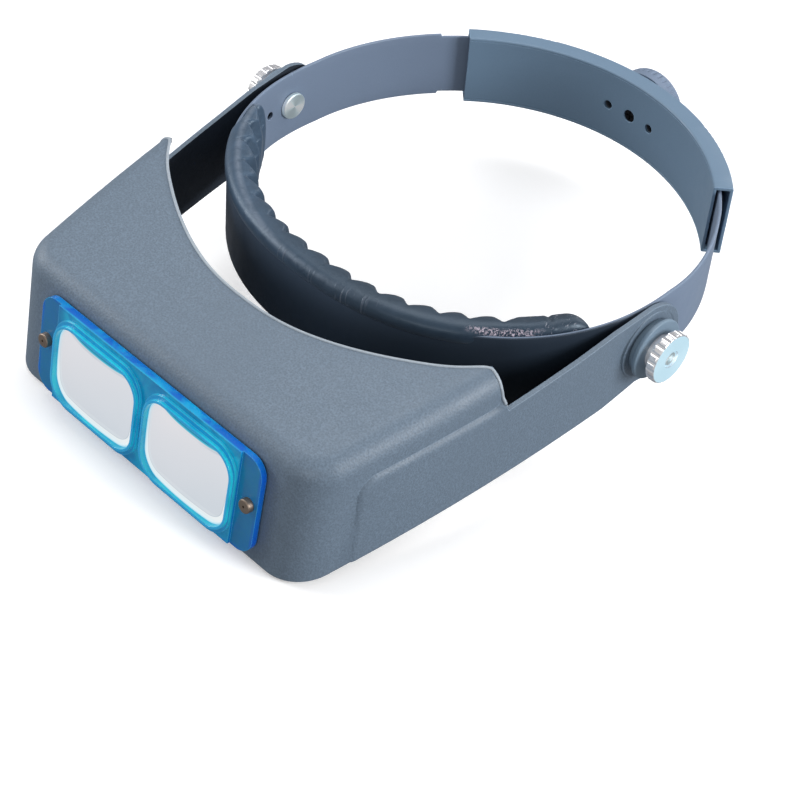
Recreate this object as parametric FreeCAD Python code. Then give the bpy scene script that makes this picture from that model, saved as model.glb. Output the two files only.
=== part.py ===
# Head visor magnifier: an adjustable headband with a padded sweatband, a hood that
# swings on two temple bolts, and a clip-on lens plate on the front of the hood.
#
# Frame, in millimetres: the origin is the centre of the head ring at half the band's
# height.  +Z is up and the wearer faces -Y; the size knob is at the back, +Y.  "Right"
# is the +X side throughout, as seen by someone who stands in front of the wearer.
import FreeCAD, Part
import math
import os

os.makedirs("parts", exist_ok=True)
Vector = FreeCAD.Vector

# ------------------------------------------------------------ driving sizes
BAND_H = 27.0           # height of the head band
BAND_TOP = BAND_H / 2.0
BAND_DROP = 3.8         # how much lower the band's bottom edge runs at the brow
BAND_T = 1.2            # thickness of the head band
BAND_GAP_Y = -0.8       # the rigid band stops just ahead of the straps

# Front band: degrees from straight ahead, outer radius.  The brow is a little
# flatter than a circle and the front corners are fuller.
BAND_RADII = [
    (0, 86.3), (15, 87.5), (30, 89.2), (45, 90.1),
    (60, 89.9), (75, 88.5), (84, 87.3), (90, 86.6),
]

PAD_HALF = 66.0         # half angle of the sweatband, degrees
PAD_T = 8.3             # thickness of the sweatband inside the band

TEMPLE_R = 86.0         # mid-radius of the straps at the temples
STRAP_T = 1.1           # thickness of the straps at the back
STRAP_H = 25.0          # strap height past the stop shoulder
LEFT_R = 85.65          # mid-radius of the left (outer) strap in the housing
RIGHT_R = 83.55         # mid-radius of the right (inner) strap in the housing
STRAP_BLEND = (92.0, 125.0)   # the strap moves to its rear radius between these angles
SHOULDER_ANGLE = 125.5  # stop shoulder
STRAP_END = 201.0       # tip of the strap, past the knob

HOUSE_RI = 81.0         # rear housing, inner face radius
HOUSE_RO = 88.1         # rear housing, outer face radius
HOUSE_TOP = 14.4        # half the rear housing's height
HOUSE_WALL = 1.1
HOUSE_HALF = 47.6       # half angle of the housing, degrees
BUSH_R = 4.4            # bore for the knob's bush
RIVET_X = 10.1          # guide rivets, either side of the knob
RIVET_R = 2.3
PEG_R = 1.17            # rivet pegs and the knob screw's shank
PEG_HOLE_R = 1.2

GEAR_M = 1.25           # module of the knob's pinion and both racks
GEAR_Z = 8
GEAR_R = GEAR_M * GEAR_Z / 2.0
RACK_PHASE = 0.19       # sideways shift of each rack's teeth
RACK_HALF = 21.0        # half length of the strap's slot
KNOB_R = 14.4
KNOB_Y0 = 88.7
KNOB_Y1 = 96.5
SHAFT_R = 3.0

PIVOT_Y = -13.0         # temple pivot axis, parallel to X
PIVOT_Z = 0.0
BOLT_R = 2.5            # temple bolt, nominal, and its hole in the band
ARM_HOLE_R = 2.56
BOLT_HEAD_X = 84.87     # outer face of the bolt's head, just inside the band
BOLT_END = 99.7         # outer end of the bolt, inside the nut's recess
SEAT_R = 12.6           # flat seat round the pivot hole of each arm
SEAT_X = (87.95, 90.05)
DISC_R = 11.2           # clamping disc: flange, and the spacer behind it
DISC_SPACER_R = 9.6
DISC_SPACER_X = 90.12
DISC_X = (92.3, 93.9)
NUT_R = 9.4             # thumb nut
NUT_HUB_R = 6.2
NUT_X = (96.7, 100.2)
NUT_GROOVES = 20

VISOR_T = 1.8           # hood wall thickness
PANEL_PROUD = 1.3       # how far the arm panel stands out of the side wall
PANEL_ROUND = 3.6       # rounding of the panel's shoulder
DECK_SLOPE = math.tan(math.radians(7.7))    # the deck falls towards the front
FACE_TILT = math.radians(7.86)              # the front face leans back at its top
FACE_LEAN = math.tan(FACE_TILT)
FACE_Y = -147.8         # front face at z = FACE_Z
FACE_Z = 3.65
CORNER_R = 15.0         # upright front corners of the hood
DECK_FILLET = 8.0
HORN_Y = -77.6          # rear end of the deck's two horns
HORN_Z = 18.8
ARM_END_R = 15.2

# Outer face of the hood's side wall in plan: an arc through three (x, y) points.
SIDE_POINTS = [(74.2, -134.5), (83.3, -77.0), (88.6, -10.0)]
SIDE_FRONT_Y, SIDE_MID_Y, SIDE_REAR_Y = -134.5, -77.0, 8.0

# Hood from the side, (y, z): bottom edge, arm's top edge, step up to the horn.
BOTTOM_EDGE = [(-200, 60), (-200, -42.716), (-31.0, -19.3)]
ARM_TOP = [(-30.0, 12.6), (-46.0, 9.2), (-75.2, 3.8)]
HORN_STEP = [(-76.2, 5.6), (HORN_Y + 0.4, 12.0), (HORN_Y, 60)]

# Forehead cut-out in the deck, (x, y) of its right half.
FOREHEAD = [
    (77.2, -77.4), (70.6, -84.3), (61.0, -91.4), (47.0, -99.4),
    (32.8, -105.6), (18.8, -109.6), (0.0, -111.2),
]

# Lens plate, in its own frame: x across, y up the plate, z out of its front face.
PLATE_CENTRE = Vector(0, -154.35, -14.3)    # centre of the plate's front face
PLATE_W = 108.0
PLATE_H = 37.4
PLATE_T = 3.2
PLATE_END_T = 2.2       # thickness of the end strips
PLATE_CORNER_R = 6.5
PLATE_GAP = 0.8         # plate's back to the hood's front face
STRIP_W = 9.3           # thin end strip of the plate
STRIP_Z = PLATE_END_T - PLATE_T             # front face of the end strips
HOOD_FACE_Z = -(PLATE_T + PLATE_GAP)        # hood's front face
LENS_X = 22.9           # lens window centre, either side
LENS_Y = -0.8           # lens window centre, up the plate
LENS_A = 20.3           # window half width
LENS_B = 15.0           # window half height
LENS_R = 8.0
LENS_FIT = 0.05         # clearance round each lens
LENS_CROWN = 1.9        # top of the lens's front bulge
LENS_BALL_R = 120.0
RIM_W = 0.95            # raised rim round each window
RIM_H = 2.0
BASE_W = 1.45           # lower step outside the rim: at the sides, top and bottom
BASE_H = 2.6
BASE_RISE = 0.9
STUD_X = 50.2
STUD_Y = 1.2
STUD_R = 1.5
STUD_HEAD_R = 2.5
STUD_HEAD_T = 2.2
SOCKET_R = 3.0

SIDES = (-1, 1)         # left, right


# ------------------------------------------------------------------ helpers
def save(name, shape):
    """Check one piece and write it out."""
    if shape.ShapeType == "Compound" and len(shape.Solids) == 1:
        shape = shape.Solids[0]
    if not shape.isValid():
        shape = shape.removeSplitter()
    assert shape.Solids, name
    for solid in shape.Solids:
        assert solid.isValid() and solid.Volume > 0, name
    shape.exportStep("parts/%s.step" % name)


def mirror_x(shape):
    return shape.mirror(Vector(0, 0, 0), Vector(1, 0, 0))


def save_pair(name, right):
    """Write a right-hand piece and its mirror image."""
    save(name + "_right", right)
    save(name + "_left", mirror_x(right))


def on_side(side, shape):
    """A right-hand shape, mirrored when side is -1."""
    return shape if side > 0 else mirror_x(shape)


def smooth(t):
    """Ease from 0 to 1, flat at both ends."""
    t = min(1.0, max(0.0, t))
    return 3 * t * t - 2 * t ** 3


def polar(radius, degrees, z):
    """Point at an angle counted from straight ahead (-Y) towards +X."""
    angle = math.radians(degrees)
    return Vector(radius * math.sin(angle), -radius * math.cos(angle), z)


def spline_edge(points):
    curve = Part.BSplineCurve()
    curve.interpolate(points)
    return curve.toShape()


def face_of(edges):
    return Part.Face(Part.Wire(Part.__sortEdges__(edges)))


def arc_wall(inner_r, outer_r, half, z0, z1, count):
    """Curved wall, out to +-half degrees, between two radius functions of the angle."""
    angles = [-half + 2 * half * i / (count - 1.0) for i in range(count)]
    outer = [polar(outer_r(angle), angle, z0) for angle in angles]
    inner = [polar(inner_r(angle), angle, z0) for angle in angles]
    face = face_of([
        spline_edge(outer),
        Part.makeLine(outer[-1], inner[-1]),
        spline_edge(inner),
        Part.makeLine(outer[0], inner[0]),
    ])
    return face.extrude(Vector(0, 0, z1 - z0))


def cyl_x(radius, x0, x1, y=PIVOT_Y, z=PIVOT_Z):
    """Cylinder along X, on the pivot axis unless told otherwise."""
    return Part.makeCylinder(radius, x1 - x0, Vector(x0, y, z), Vector(1, 0, 0))


def cyl_y(radius, y0, y1, x=0.0, z=0.0):
    return Part.makeCylinder(radius, y1 - y0, Vector(x, y0, z), Vector(0, 1, 0))


def prism(points, travel):
    """Closed polygon swept along a vector."""
    return Part.Face(Part.makePolygon(points + [points[0]])).extrude(travel)


def prism_x(outline, x0, x1):
    """Extrude a closed (y, z) outline along X."""
    return prism([Vector(x0, y, z) for y, z in outline], Vector(x1 - x0, 0, 0))


def prism_y(outline, y0, y1):
    """Extrude a closed (x, z) outline along Y."""
    return prism([Vector(x, y0, z) for x, z in outline], Vector(0, y1 - y0, 0))


def rim_circles(shape, axis, place=None):
    """Full circles square to an axis ("X", "Y" or "Z"), all or only those at place."""
    found = []
    for edge in shape.Edges:
        low = getattr(edge.BoundBox, axis + "Min")
        high = getattr(edge.BoundBox, axis + "Max")
        if len(edge.Vertexes) == 1 and high - low < 1e-3:
            if place is None or abs(low - place) < 1e-3:
                found.append(edge)
    return found


# --------------------------------------------------------------- head band
BAND_CURVE = Part.BSplineCurve()    # x is the angle, y the band's outer radius
BAND_CURVE.interpolate(
    [Vector(-angle, radius, 0) for angle, radius in reversed(BAND_RADII[1:])]
    + [Vector(angle, radius, 0) for angle, radius in BAND_RADII])


def band_out(angle):
    """Outer radius of the band at an angle, found on the curve by bisection."""
    low, high = BAND_CURVE.FirstParameter, BAND_CURVE.LastParameter
    for _ in range(50):
        middle = 0.5 * (low + high)
        if BAND_CURVE.value(middle).x < angle:
            low = middle
        else:
            high = middle
    return BAND_CURVE.value(0.5 * (low + high)).y


def front_band():
    band = arc_wall(lambda a: band_out(a) - BAND_T, band_out, 90,
                    -BAND_TOP - BAND_DROP, BAND_TOP, 49)
    band = band.cut(Part.makeBox(400, 40, 60, Vector(-200, BAND_GAP_Y, -30)))

    # The bottom edge falls smoothly from the temples to the brow.
    stations = [-8.0 - 12.0 * i for i in range(8)]
    bottom = [Vector(-150, y, -BAND_TOP - BAND_DROP * smooth((-20.0 - y) / 60.0))
              for y in stations]
    front_low = Vector(-150, stations[-1], -40)
    rear_low = Vector(-150, stations[0], -40)
    below = Part.Wire([
        spline_edge(bottom),
        Part.makeLine(bottom[-1], front_low),
        Part.makeLine(front_low, rear_low),
        Part.makeLine(rear_low, bottom[0]),
    ])
    band = band.cut(Part.Face(below).extrude(Vector(300, 0, 0)))

    # Bolt holes, each with a small hole just ahead of it.
    for side in SIDES:
        band = band.cut(on_side(side, cyl_x(BOLT_R, 70, 100)))
        band = band.cut(on_side(side, cyl_x(1.6, 60, 110, -25.0, 0.8)))
    return band


# --------------------------------------------------------------- sweatband
def pad_wall(inner, outer, inset, z0, z1):
    """Wall between two offsets from the band's outer face, its ends drawn in by inset."""
    return arc_wall(lambda a: band_out(a) + inner, lambda a: band_out(a) + outer,
                    PAD_HALF - inset, z0, z1, 37)


PAD_IN = -BAND_T - PAD_T    # inner face of the sweatband, from the band's outer face


def sweatband_foam():
    return pad_wall(PAD_IN + 0.9, -BAND_T - 0.95, 1.5, -10.5, 12.4)


def sweatband_cover():
    """Cover round the foam that hooks over the band's top edge."""
    lip_in, lip_out = 0.10, 0.95
    hook_z = 13.7
    sleeve = pad_wall(PAD_IN, -BAND_T - 0.10, 0, -11.6, hook_z)
    top = pad_wall(PAD_IN, lip_out, 0, hook_z, 15.0)
    lip = pad_wall(lip_in, lip_out, 0, 8.0, hook_z)
    cavity = pad_wall(PAD_IN + 0.85, -BAND_T - 0.90, 1.4, -10.55, 12.45)
    return sleeve.fuse(top).fuse(lip).cut(cavity).removeSplitter()


# ------------------------------------------------------------ temple pivots
def pivot_bolt():
    """Round head inside the band, shank out through the arm, hex socket in its end."""
    head_in = BOLT_HEAD_X - 1.45
    head = cyl_x(5.2, head_in, BOLT_HEAD_X)
    head = head.makeFillet(0.5, rim_circles(head, "X", head_in))
    shank = cyl_x(BOLT_R - 0.04, BOLT_HEAD_X - 0.45, BOLT_END)
    socket_r = 1.65
    corners = [math.radians(60 * i) for i in range(6)]
    hexagon = [(PIVOT_Y + socket_r * math.cos(a), PIVOT_Z + socket_r * math.sin(a))
               for a in corners]
    return head.fuse(shank).cut(prism_x(hexagon, BOLT_END - 2.0, 101)).removeSplitter()


def friction_washers():
    """Washers between the band and the hood's arms."""
    washer = cyl_x(8.0, 87.12, 87.88).cut(cyl_x(BOLT_R + 0.02, 80, 95))
    return Part.makeCompound([washer, mirror_x(washer)])


def clamp_disc():
    disc = cyl_x(DISC_R, *DISC_X)
    disc = disc.makeFillet(0.45, rim_circles(disc, "X"))
    disc = disc.fuse(cyl_x(DISC_SPACER_R, DISC_SPACER_X, DISC_X[0] + 0.2)).removeSplitter()
    return disc.cut(cyl_x(ARM_HOLE_R, 80, 100))


def thumb_nut():
    hub = cyl_x(NUT_HUB_R, DISC_X[1] + 0.08, NUT_X[0] + 0.3)
    body = cyl_x(NUT_R, *NUT_X)
    body = body.makeFillet(0.75, rim_circles(body, "X"))
    groove_ring = NUT_R + 0.62
    for i in range(NUT_GROOVES):
        angle = 2 * math.pi * i / NUT_GROOVES
        body = body.cut(cyl_x(1.15, 93, 101, PIVOT_Y + groove_ring * math.cos(angle),
                              PIVOT_Z + groove_ring * math.sin(angle)))
    nut = hub.fuse(body).cut(cyl_x(BOLT_R + 0.05, 90, 102))
    # recess round the bolt's end
    return nut.cut(cyl_x(3.3, 99.3, 101)).removeSplitter()


# ------------------------------------------------------------- rear straps
def strap_blank(rear_r):
    """Right-hand strap at full band height, from the temple round the back."""
    z = -BAND_TOP
    start, end = STRAP_BLEND
    outer, inner = [], []
    for i in range(15):
        angle = 90 + 35.0 * i / 14.0
        t = max(0.0, (angle - start) / (end - start))
        middle = TEMPLE_R + (rear_r - TEMPLE_R) * smooth(t)
        thick = BAND_T + (STRAP_T - BAND_T) * t
        outer.append(polar(middle + thick / 2, angle, z))
        inner.append(polar(middle - thick / 2, angle, z))

    rear_out, rear_in = rear_r + STRAP_T / 2, rear_r - STRAP_T / 2
    between = 0.5 * (end + STRAP_END)

    def rear_arc(radius):
        return Part.Arc(polar(radius, end, z), polar(radius, between, z),
                        polar(radius, STRAP_END, z)).toShape()

    rounded_front = Part.Arc(Vector(TEMPLE_R - BAND_T / 2, 0, z),
                             Vector(TEMPLE_R, -BAND_T / 2, z),
                             Vector(TEMPLE_R + BAND_T / 2, 0, z)).toShape()
    face = face_of([
        spline_edge(outer),
        rear_arc(rear_out),
        Part.makeLine(polar(rear_out, STRAP_END, z), polar(rear_in, STRAP_END, z)),
        rear_arc(rear_in),
        spline_edge(inner),
        rounded_front,
    ])
    return face.extrude(Vector(0, 0, BAND_H))


def rack_slot(side):
    """Toothed slot: the teeth are on its upper edge on the left strap, lower on the right."""
    pitch = math.pi * GEAR_M
    gap_z = GEAR_R + 1.55               # bottom of the gaps between teeth
    tip_z = GEAR_R - 1.0
    root_half, tip_half = 0.98, 0.36    # half widths of a tooth
    count = int(RACK_HALF // pitch) + 1
    outline = [(-RACK_HALF, gap_z)]
    for k in range(-count, count + 1):
        centre = -side * RACK_PHASE + (k + 0.5) * pitch
        if abs(centre) > RACK_HALF - 1.2:
            continue
        outline += [(centre - root_half, gap_z), (centre - tip_half, tip_z),
                    (centre + tip_half, tip_z), (centre + root_half, gap_z)]
    outline += [(RACK_HALF, gap_z), (RACK_HALF, -6.9), (-RACK_HALF, -6.9)]
    return prism_y([(x, -side * z) for x, z in outline], 70, 95)


def strap(rear_r, side):
    body = strap_blank(rear_r)

    # Stop shoulders: the strap loses a millimetre at its top and bottom behind them.
    half_h = STRAP_H / 2.0
    reach = 160.0
    for up in (1, -1):
        z = up * half_h
        behind = [Vector(0, 0, z), polar(reach, SHOULDER_ANGLE, z), Vector(reach, 200, z),
                  Vector(-reach, 200, z), Vector(-reach, -20, z), Vector(0, -20, z)]
        body = body.cut(prism(behind, Vector(0, 0, up * 10)))

    body = on_side(side, body).cut(rack_slot(side)).removeSplitter()

    tip_edges = []
    for edge in body.Edges:
        box = edge.BoundBox
        level = abs(box.ZMax - box.ZMin) < 1e-6 and abs(abs(box.ZMax) - half_h) < 1e-6
        past_knob = side * (box.XMin + box.XMax) / 2 < -10
        if level and past_knob and edge.Length < STRAP_T * 1.05:
            tip_edges.append(edge)
    if tip_edges:
        # The tip stays square if its corners can't be rounded.
        try:
            body = body.makeFillet(5.0, tip_edges)
        except Exception:
            pass
    return body


# ------------------------------------------------------------ rear housing
def sector(inner_r, outer_r, half, z0, z1):
    """Ring sector about +Y, out to +-half degrees."""
    ring = Part.makeCylinder(outer_r, z1 - z0, Vector(0, 0, z0))
    ring = ring.cut(Part.makeCylinder(inner_r, z1 - z0 + 2, Vector(0, 0, z0 - 1)))
    x = 200.0 * math.sin(math.radians(half))
    y = 200.0 * math.cos(math.radians(half))
    z = z0 - 5
    wedge = [Vector(0, 0, z), Vector(x, y, z), Vector(x, 300, z),
             Vector(-x, 300, z), Vector(-x, y, z)]
    return ring.common(prism(wedge, Vector(0, 0, z1 - z0 + 10)))


def rear_housing():
    """Curved box, open at its ends and at its inner face."""
    outer = sector(HOUSE_RI, HOUSE_RO, HOUSE_HALF, -HOUSE_TOP, HOUSE_TOP)
    # The long edges stay sharp if they can't be rounded.
    try:
        outer = outer.makeFillet(0.6, [
            edge for edge in outer.Edges
            if abs(abs(edge.CenterOfMass.z) - HOUSE_TOP) < 1e-6 and edge.Length > 30])
    except Exception:
        pass
    inside_top = HOUSE_TOP - HOUSE_WALL
    inside = sector(HOUSE_RI + HOUSE_WALL, HOUSE_RO - HOUSE_WALL, HOUSE_HALF + 2,
                    -inside_top, inside_top)
    opening = sector(HOUSE_RI - 1, HOUSE_RI + HOUSE_WALL + 0.1, HOUSE_HALF + 2,
                     -inside_top, inside_top)
    shell = outer.cut(inside).cut(opening).cut(cyl_y(BUSH_R, 80, 95))
    for side in SIDES:
        shell = shell.cut(cyl_y(PEG_HOLE_R, 84, 90, side * RIVET_X))
    return shell.removeSplitter()


def rear_cover():
    """Plate that closes the housing's inner face."""
    top = HOUSE_TOP - HOUSE_WALL - 0.05
    cover = sector(HOUSE_RI + 0.05, HOUSE_RI + HOUSE_WALL, HOUSE_HALF, -top, top)
    cover = cover.cut(cyl_y(2.5, 78, 84))
    for side in SIDES:
        cover = cover.cut(cyl_y(1.8, 78, 84, side * RIVET_X))
    return cover


def guide_rivet(side):
    """Hollow rivet between the housing's two walls, in both straps' slots."""
    def drum(radius):
        return Part.makeCylinder(radius, 20, Vector(0, 0, -10))

    x = side * RIVET_X
    tube = cyl_y(RIVET_R, 80.0, 86.0, x).cut(drum(HOUSE_RI + HOUSE_WALL + 0.03))
    body = tube.fuse(cyl_y(PEG_R, 85.5, 88.0, x)).common(drum(HOUSE_RO - 0.02))
    body = body.cut(cyl_y(1.5, 78, 84.2, x))
    # stay clear of the outer wall except at the peg
    keep = drum(HOUSE_RO - HOUSE_WALL - 0.05).fuse(cyl_y(PEG_R, 80, 90, x))
    return body.common(keep).removeSplitter()


# -------------------------------------------------------------- size knob
def knob_bush():
    """Bush for the knob's shaft, in the housing's outer wall."""
    return cyl_y(BUSH_R - 0.02, 87.05, 88.5).cut(cyl_y(SHAFT_R + 0.06, 80, 95))


def size_knob():
    knob = cyl_y(KNOB_R, KNOB_Y0, KNOB_Y1)
    knob = knob.makeFillet(3.2, rim_circles(knob, "Y", KNOB_Y1))
    # fine grip behind a plain collar
    groove_ring = KNOB_R + 0.3
    groove_y = KNOB_Y0 + 2.6
    for i in range(36):
        angle = math.radians(10 * i)
        knob = knob.cut(cyl_y(0.7, groove_y, groove_y + 12, groove_ring * math.cos(angle),
                              groove_ring * math.sin(angle)))
    # ring recess in the face towards the housing, then the shaft's bore
    recess = cyl_y(KNOB_R - 2.0, KNOB_Y0 - 1, KNOB_Y0 + 1.4)
    knob = knob.cut(recess.cut(cyl_y(5.2, KNOB_Y0 - 2, KNOB_Y0 + 3)))
    knob = knob.cut(cyl_y(SHAFT_R, KNOB_Y0 - 1, KNOB_Y0 + 5.0))
    return knob.removeSplitter()


def knob_pinion():
    """Pinion and shaft, bored for the screw."""
    # radius, half width of the tooth there, from root to tip
    flank = [(3.35, 1.05), (GEAR_R, 0.70), (GEAR_R + 1.05, 0.36)]
    outline = []
    for k in range(GEAR_Z):
        centre = math.radians(90.0 + k * 360.0 / GEAR_Z)
        for turn, stations in ((-1, flank), (1, flank[::-1])):
            for radius, half_w in stations:
                angle = centre + turn * math.asin(half_w / radius)
                outline.append((radius * math.cos(angle), radius * math.sin(angle)))
    gear_y0, gear_y1 = 82.35, 86.75
    gear = prism_y(outline, gear_y0, gear_y1)
    shaft = cyl_y(SHAFT_R, gear_y1, KNOB_Y0 + 4.98)
    return gear.fuse(shaft).cut(cyl_y(PEG_HOLE_R, 80, KNOB_Y0 + 4.0)).removeSplitter()


def knob_screw():
    """Screw with a cross recess in its head, at the housing's inner face."""
    screw = cyl_y(2.42, 81.5, 82.3).fuse(cyl_y(PEG_R, 82.2, KNOB_Y0 + 3.5))
    long, wide = 5.4, 0.7
    for size_x, size_z in ((long, wide), (wide, long)):
        slot = Part.makeBox(size_x, 0.5, size_z, Vector(-size_x / 2, 81.4, -size_z / 2))
        screw = screw.cut(slot.common(cyl_y(1.7, 80, 83)))
    return screw.removeSplitter()


def knob_spring_washer():
    return cyl_y(11.8, 88.75, 89.05).cut(cyl_y(6.0, 88, 90))


# ------------------------------------------------------------------- hood
def circle_through(points):
    """Centre x, centre y and radius of the circle through three (x, y) points."""
    (x1, y1), (x2, y2), (x3, y3) = points
    s1, s2, s3 = [x * x + y * y for x, y in points]
    d = 2 * (x1 * (y2 - y3) + x2 * (y3 - y1) + x3 * (y1 - y2))
    centre_x = (s1 * (y2 - y3) + s2 * (y3 - y1) + s3 * (y1 - y2)) / d
    centre_y = (s1 * (x3 - x2) + s2 * (x1 - x3) + s3 * (x2 - x1)) / d
    return centre_x, centre_y, math.hypot(x1 - centre_x, y1 - centre_y)


SIDE_CX, SIDE_CY, SIDE_R = circle_through(SIDE_POINTS)


def side_x(offset, y):
    """x of the right side wall's outer face, moved out by offset."""
    return SIDE_CX + math.sqrt((SIDE_R + offset) ** 2 - (y - SIDE_CY) ** 2)


def side_arc(offset, z):
    """The side wall's arc from front to rear, with its two end points."""
    points = [Vector(side_x(offset, y), y, z)
              for y in (SIDE_FRONT_Y, SIDE_MID_Y, SIDE_REAR_Y)]
    return Part.Arc(*points).toShape(), points[0], points[2]


def plan_face(offset):
    """Plan outline of the hood block at z = 0, its walls moved out by offset."""
    arc, front, rear = side_arc(offset, 0.0)
    face_y = FACE_Y - FACE_LEAN * FACE_Z - offset
    radius = CORNER_R + offset

    # Run the side straight on to the front line, then round the corner.
    tangent = arc.tangentAt(arc.FirstParameter)
    corner = Vector(front.x + tangent.x / tangent.y * (face_y - front.y), face_y, 0)
    along_side = front - corner
    along_side.normalize()
    along_front = Vector(-1, 0, 0)
    half_angle = math.acos(along_side.dot(along_front)) / 2
    setback = radius / math.tan(half_angle)
    side_end = corner + along_side * setback
    front_end = corner + along_front * setback
    inward = along_side + along_front
    inward.normalize()
    corner_mid = corner + inward * (radius / math.sin(half_angle)) - inward * radius

    half = [arc, Part.makeLine(front, side_end),
            Part.Arc(side_end, corner_mid, front_end).toShape()]
    edges = half + [mirror_x(edge) for edge in half]
    edges.append(Part.makeLine(front_end, Vector(-front_end.x, front_end.y, 0)))
    edges.append(Part.makeLine(rear, Vector(-rear.x, rear.y, 0)))
    return face_of(edges)


def hood_block(offset, fillet):
    """Solid block of the hood, its walls and deck moved out by offset."""
    def deck_z(y):
        return HORN_Z + offset + DECK_SLOPE * (y - HORN_Y)

    z0, z1 = -60.0, 40.0
    face = plan_face(offset)
    face.translate(Vector(0, FACE_LEAN * z0, z0))
    block = face.extrude(Vector(0, FACE_LEAN * (z1 - z0), z1 - z0))
    y0, y1 = -260.0, 80.0
    block = block.cut(prism_x([(y0, deck_z(y0)), (y1, deck_z(y1)), (y1, 120), (y0, 120)],
                              -150, 150))
    # round the deck's edges, all but the rear one
    edges = []
    for edge in block.Edges:
        centre = edge.CenterOfMass
        on_deck = abs(centre.z - deck_z(centre.y)) < 0.6 and centre.z > -5
        if on_deck and edge.BoundBox.YMin < -20:
            edges.append(edge)
    return block.makeFillet(fillet, edges)


def panel_slab(offset):
    """Upright slab behind the side wall's face, moved out by offset."""
    z = -60
    arc, front, rear = side_arc(offset, z)
    inner_x = side_x(offset - 6.0, SIDE_FRONT_Y) - 10
    inner_rear = Vector(inner_x, SIDE_REAR_Y, z)
    inner_front = Vector(inner_x, SIDE_FRONT_Y, z)
    face = face_of([arc, Part.makeLine(rear, inner_rear),
                    Part.makeLine(inner_rear, inner_front),
                    Part.makeLine(inner_front, front)])
    return face.extrude(Vector(0, 0, 100))


def cross_edges(shape, place):
    """Edges parallel to X at a (y, z) place."""
    found = []
    for edge in shape.Edges:
        box = edge.BoundBox
        if (box.YMax - box.YMin < 1e-3 and abs(box.YMin - place[0]) < 1e-3
                and box.ZMax - box.ZMin < 1e-3 and abs(box.ZMin - place[1]) < 1e-3):
            found.append(edge)
    return found


def panel_prism(inset, x0, corner_r):
    """Side view of the raised panel, its front and top drawn in by inset."""
    front_top = (-131.2 + inset, 1.1 - inset)
    rear_top = (-79.0, 7.0 - inset)
    block = prism_x([(-136.2 + inset, -60), front_top, rear_top,
                     (-60.0, 40), (20, 40), (20, -60)], x0, 110)
    block = block.makeFillet(corner_r, cross_edges(block, front_top))
    return block.makeFillet(3.0, cross_edges(block, rear_top))


def soften(panel):
    """Round the shoulder where the panel's outline meets its outer face."""
    shoulder = []
    for edge in panel.Edges:
        box = edge.BoundBox
        centre = edge.CenterOfMass
        if centre.x < 73 or centre.y > -62 or centre.z < -59.9:
            continue
        middle = edge.valueAt(0.5 * (edge.FirstParameter + edge.LastParameter))
        on_face = abs(side_x(PANEL_PROUD, middle.y) - middle.x) < 0.02
        if on_face and box.YMax < -55 and box.ZMax - box.ZMin <= 90:
            shoulder.append(edge)
    return panel.makeFillet(PANEL_ROUND, shoulder)


def silhouette():
    """Hood and arms from the side, (y, z), with a round end about the pivot."""
    steps = 22
    arm_end = []
    for i in range(steps + 1):
        angle = math.radians(88 - 189 * i / float(steps))
        arm_end.append((PIVOT_Y + ARM_END_R * math.cos(angle),
                        PIVOT_Z - 0.3 + ARM_END_R * math.sin(angle)))
    return BOTTOM_EDGE + arm_end[::-1] + ARM_TOP + HORN_STEP


def forehead_cutter():
    points = [(-x, y) for x, y in FOREHEAD] + FOREHEAD[-2::-1]
    edge_x, edge_y = FOREHEAD[0]
    rear_y = 30
    left_rear, right_rear = Vector(-edge_x, rear_y, 0), Vector(edge_x, rear_y, 0)
    cutter = face_of([
        spline_edge([Vector(x, y, 0) for x, y in points]),
        Part.makeLine(Vector(-edge_x, edge_y, 0), left_rear),
        Part.makeLine(left_rear, right_rear),
        Part.makeLine(right_rear, Vector(edge_x, edge_y, 0)),
    ]).extrude(Vector(0, 0, 80))
    cutter.translate(Vector(0, 0, -40))
    return cutter


# Placement of the lens plate's frame, square to the hood's front face.
PLATE_OUT = Vector(0, -math.cos(FACE_TILT), math.sin(FACE_TILT))
PLATE_UP = Vector(0, math.sin(FACE_TILT), math.cos(FACE_TILT))
PLATE_PLACE = FreeCAD.Placement(
    PLATE_CENTRE, FreeCAD.Rotation(Vector(1, 0, 0), PLATE_UP, PLATE_OUT, "ZYX"))


def place(shape):
    """Move a shape from the plate's frame to the head's."""
    placed = shape.copy()
    placed.Placement = PLATE_PLACE.multiply(placed.Placement)
    return placed


def rounded_block(half_w, half_h, radius, x, y, z0, depth):
    """Block in the plate's frame with its four corners rounded."""
    box = Part.makeBox(2 * half_w, 2 * half_h, depth, Vector(x - half_w, y - half_h, z0))
    corners = [edge for edge in box.Edges
               if edge.BoundBox.XMax - edge.BoundBox.XMin < 1e-6
               and edge.BoundBox.YMax - edge.BoundBox.YMin < 1e-6]
    return box.makeFillet(radius, corners)


def stud_cylinder(side, radius, z0, length):
    """Cylinder on a stud's axis, in the plate's frame."""
    return Part.makeCylinder(radius, length, Vector(side * STUD_X, STUD_Y, z0))


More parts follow.
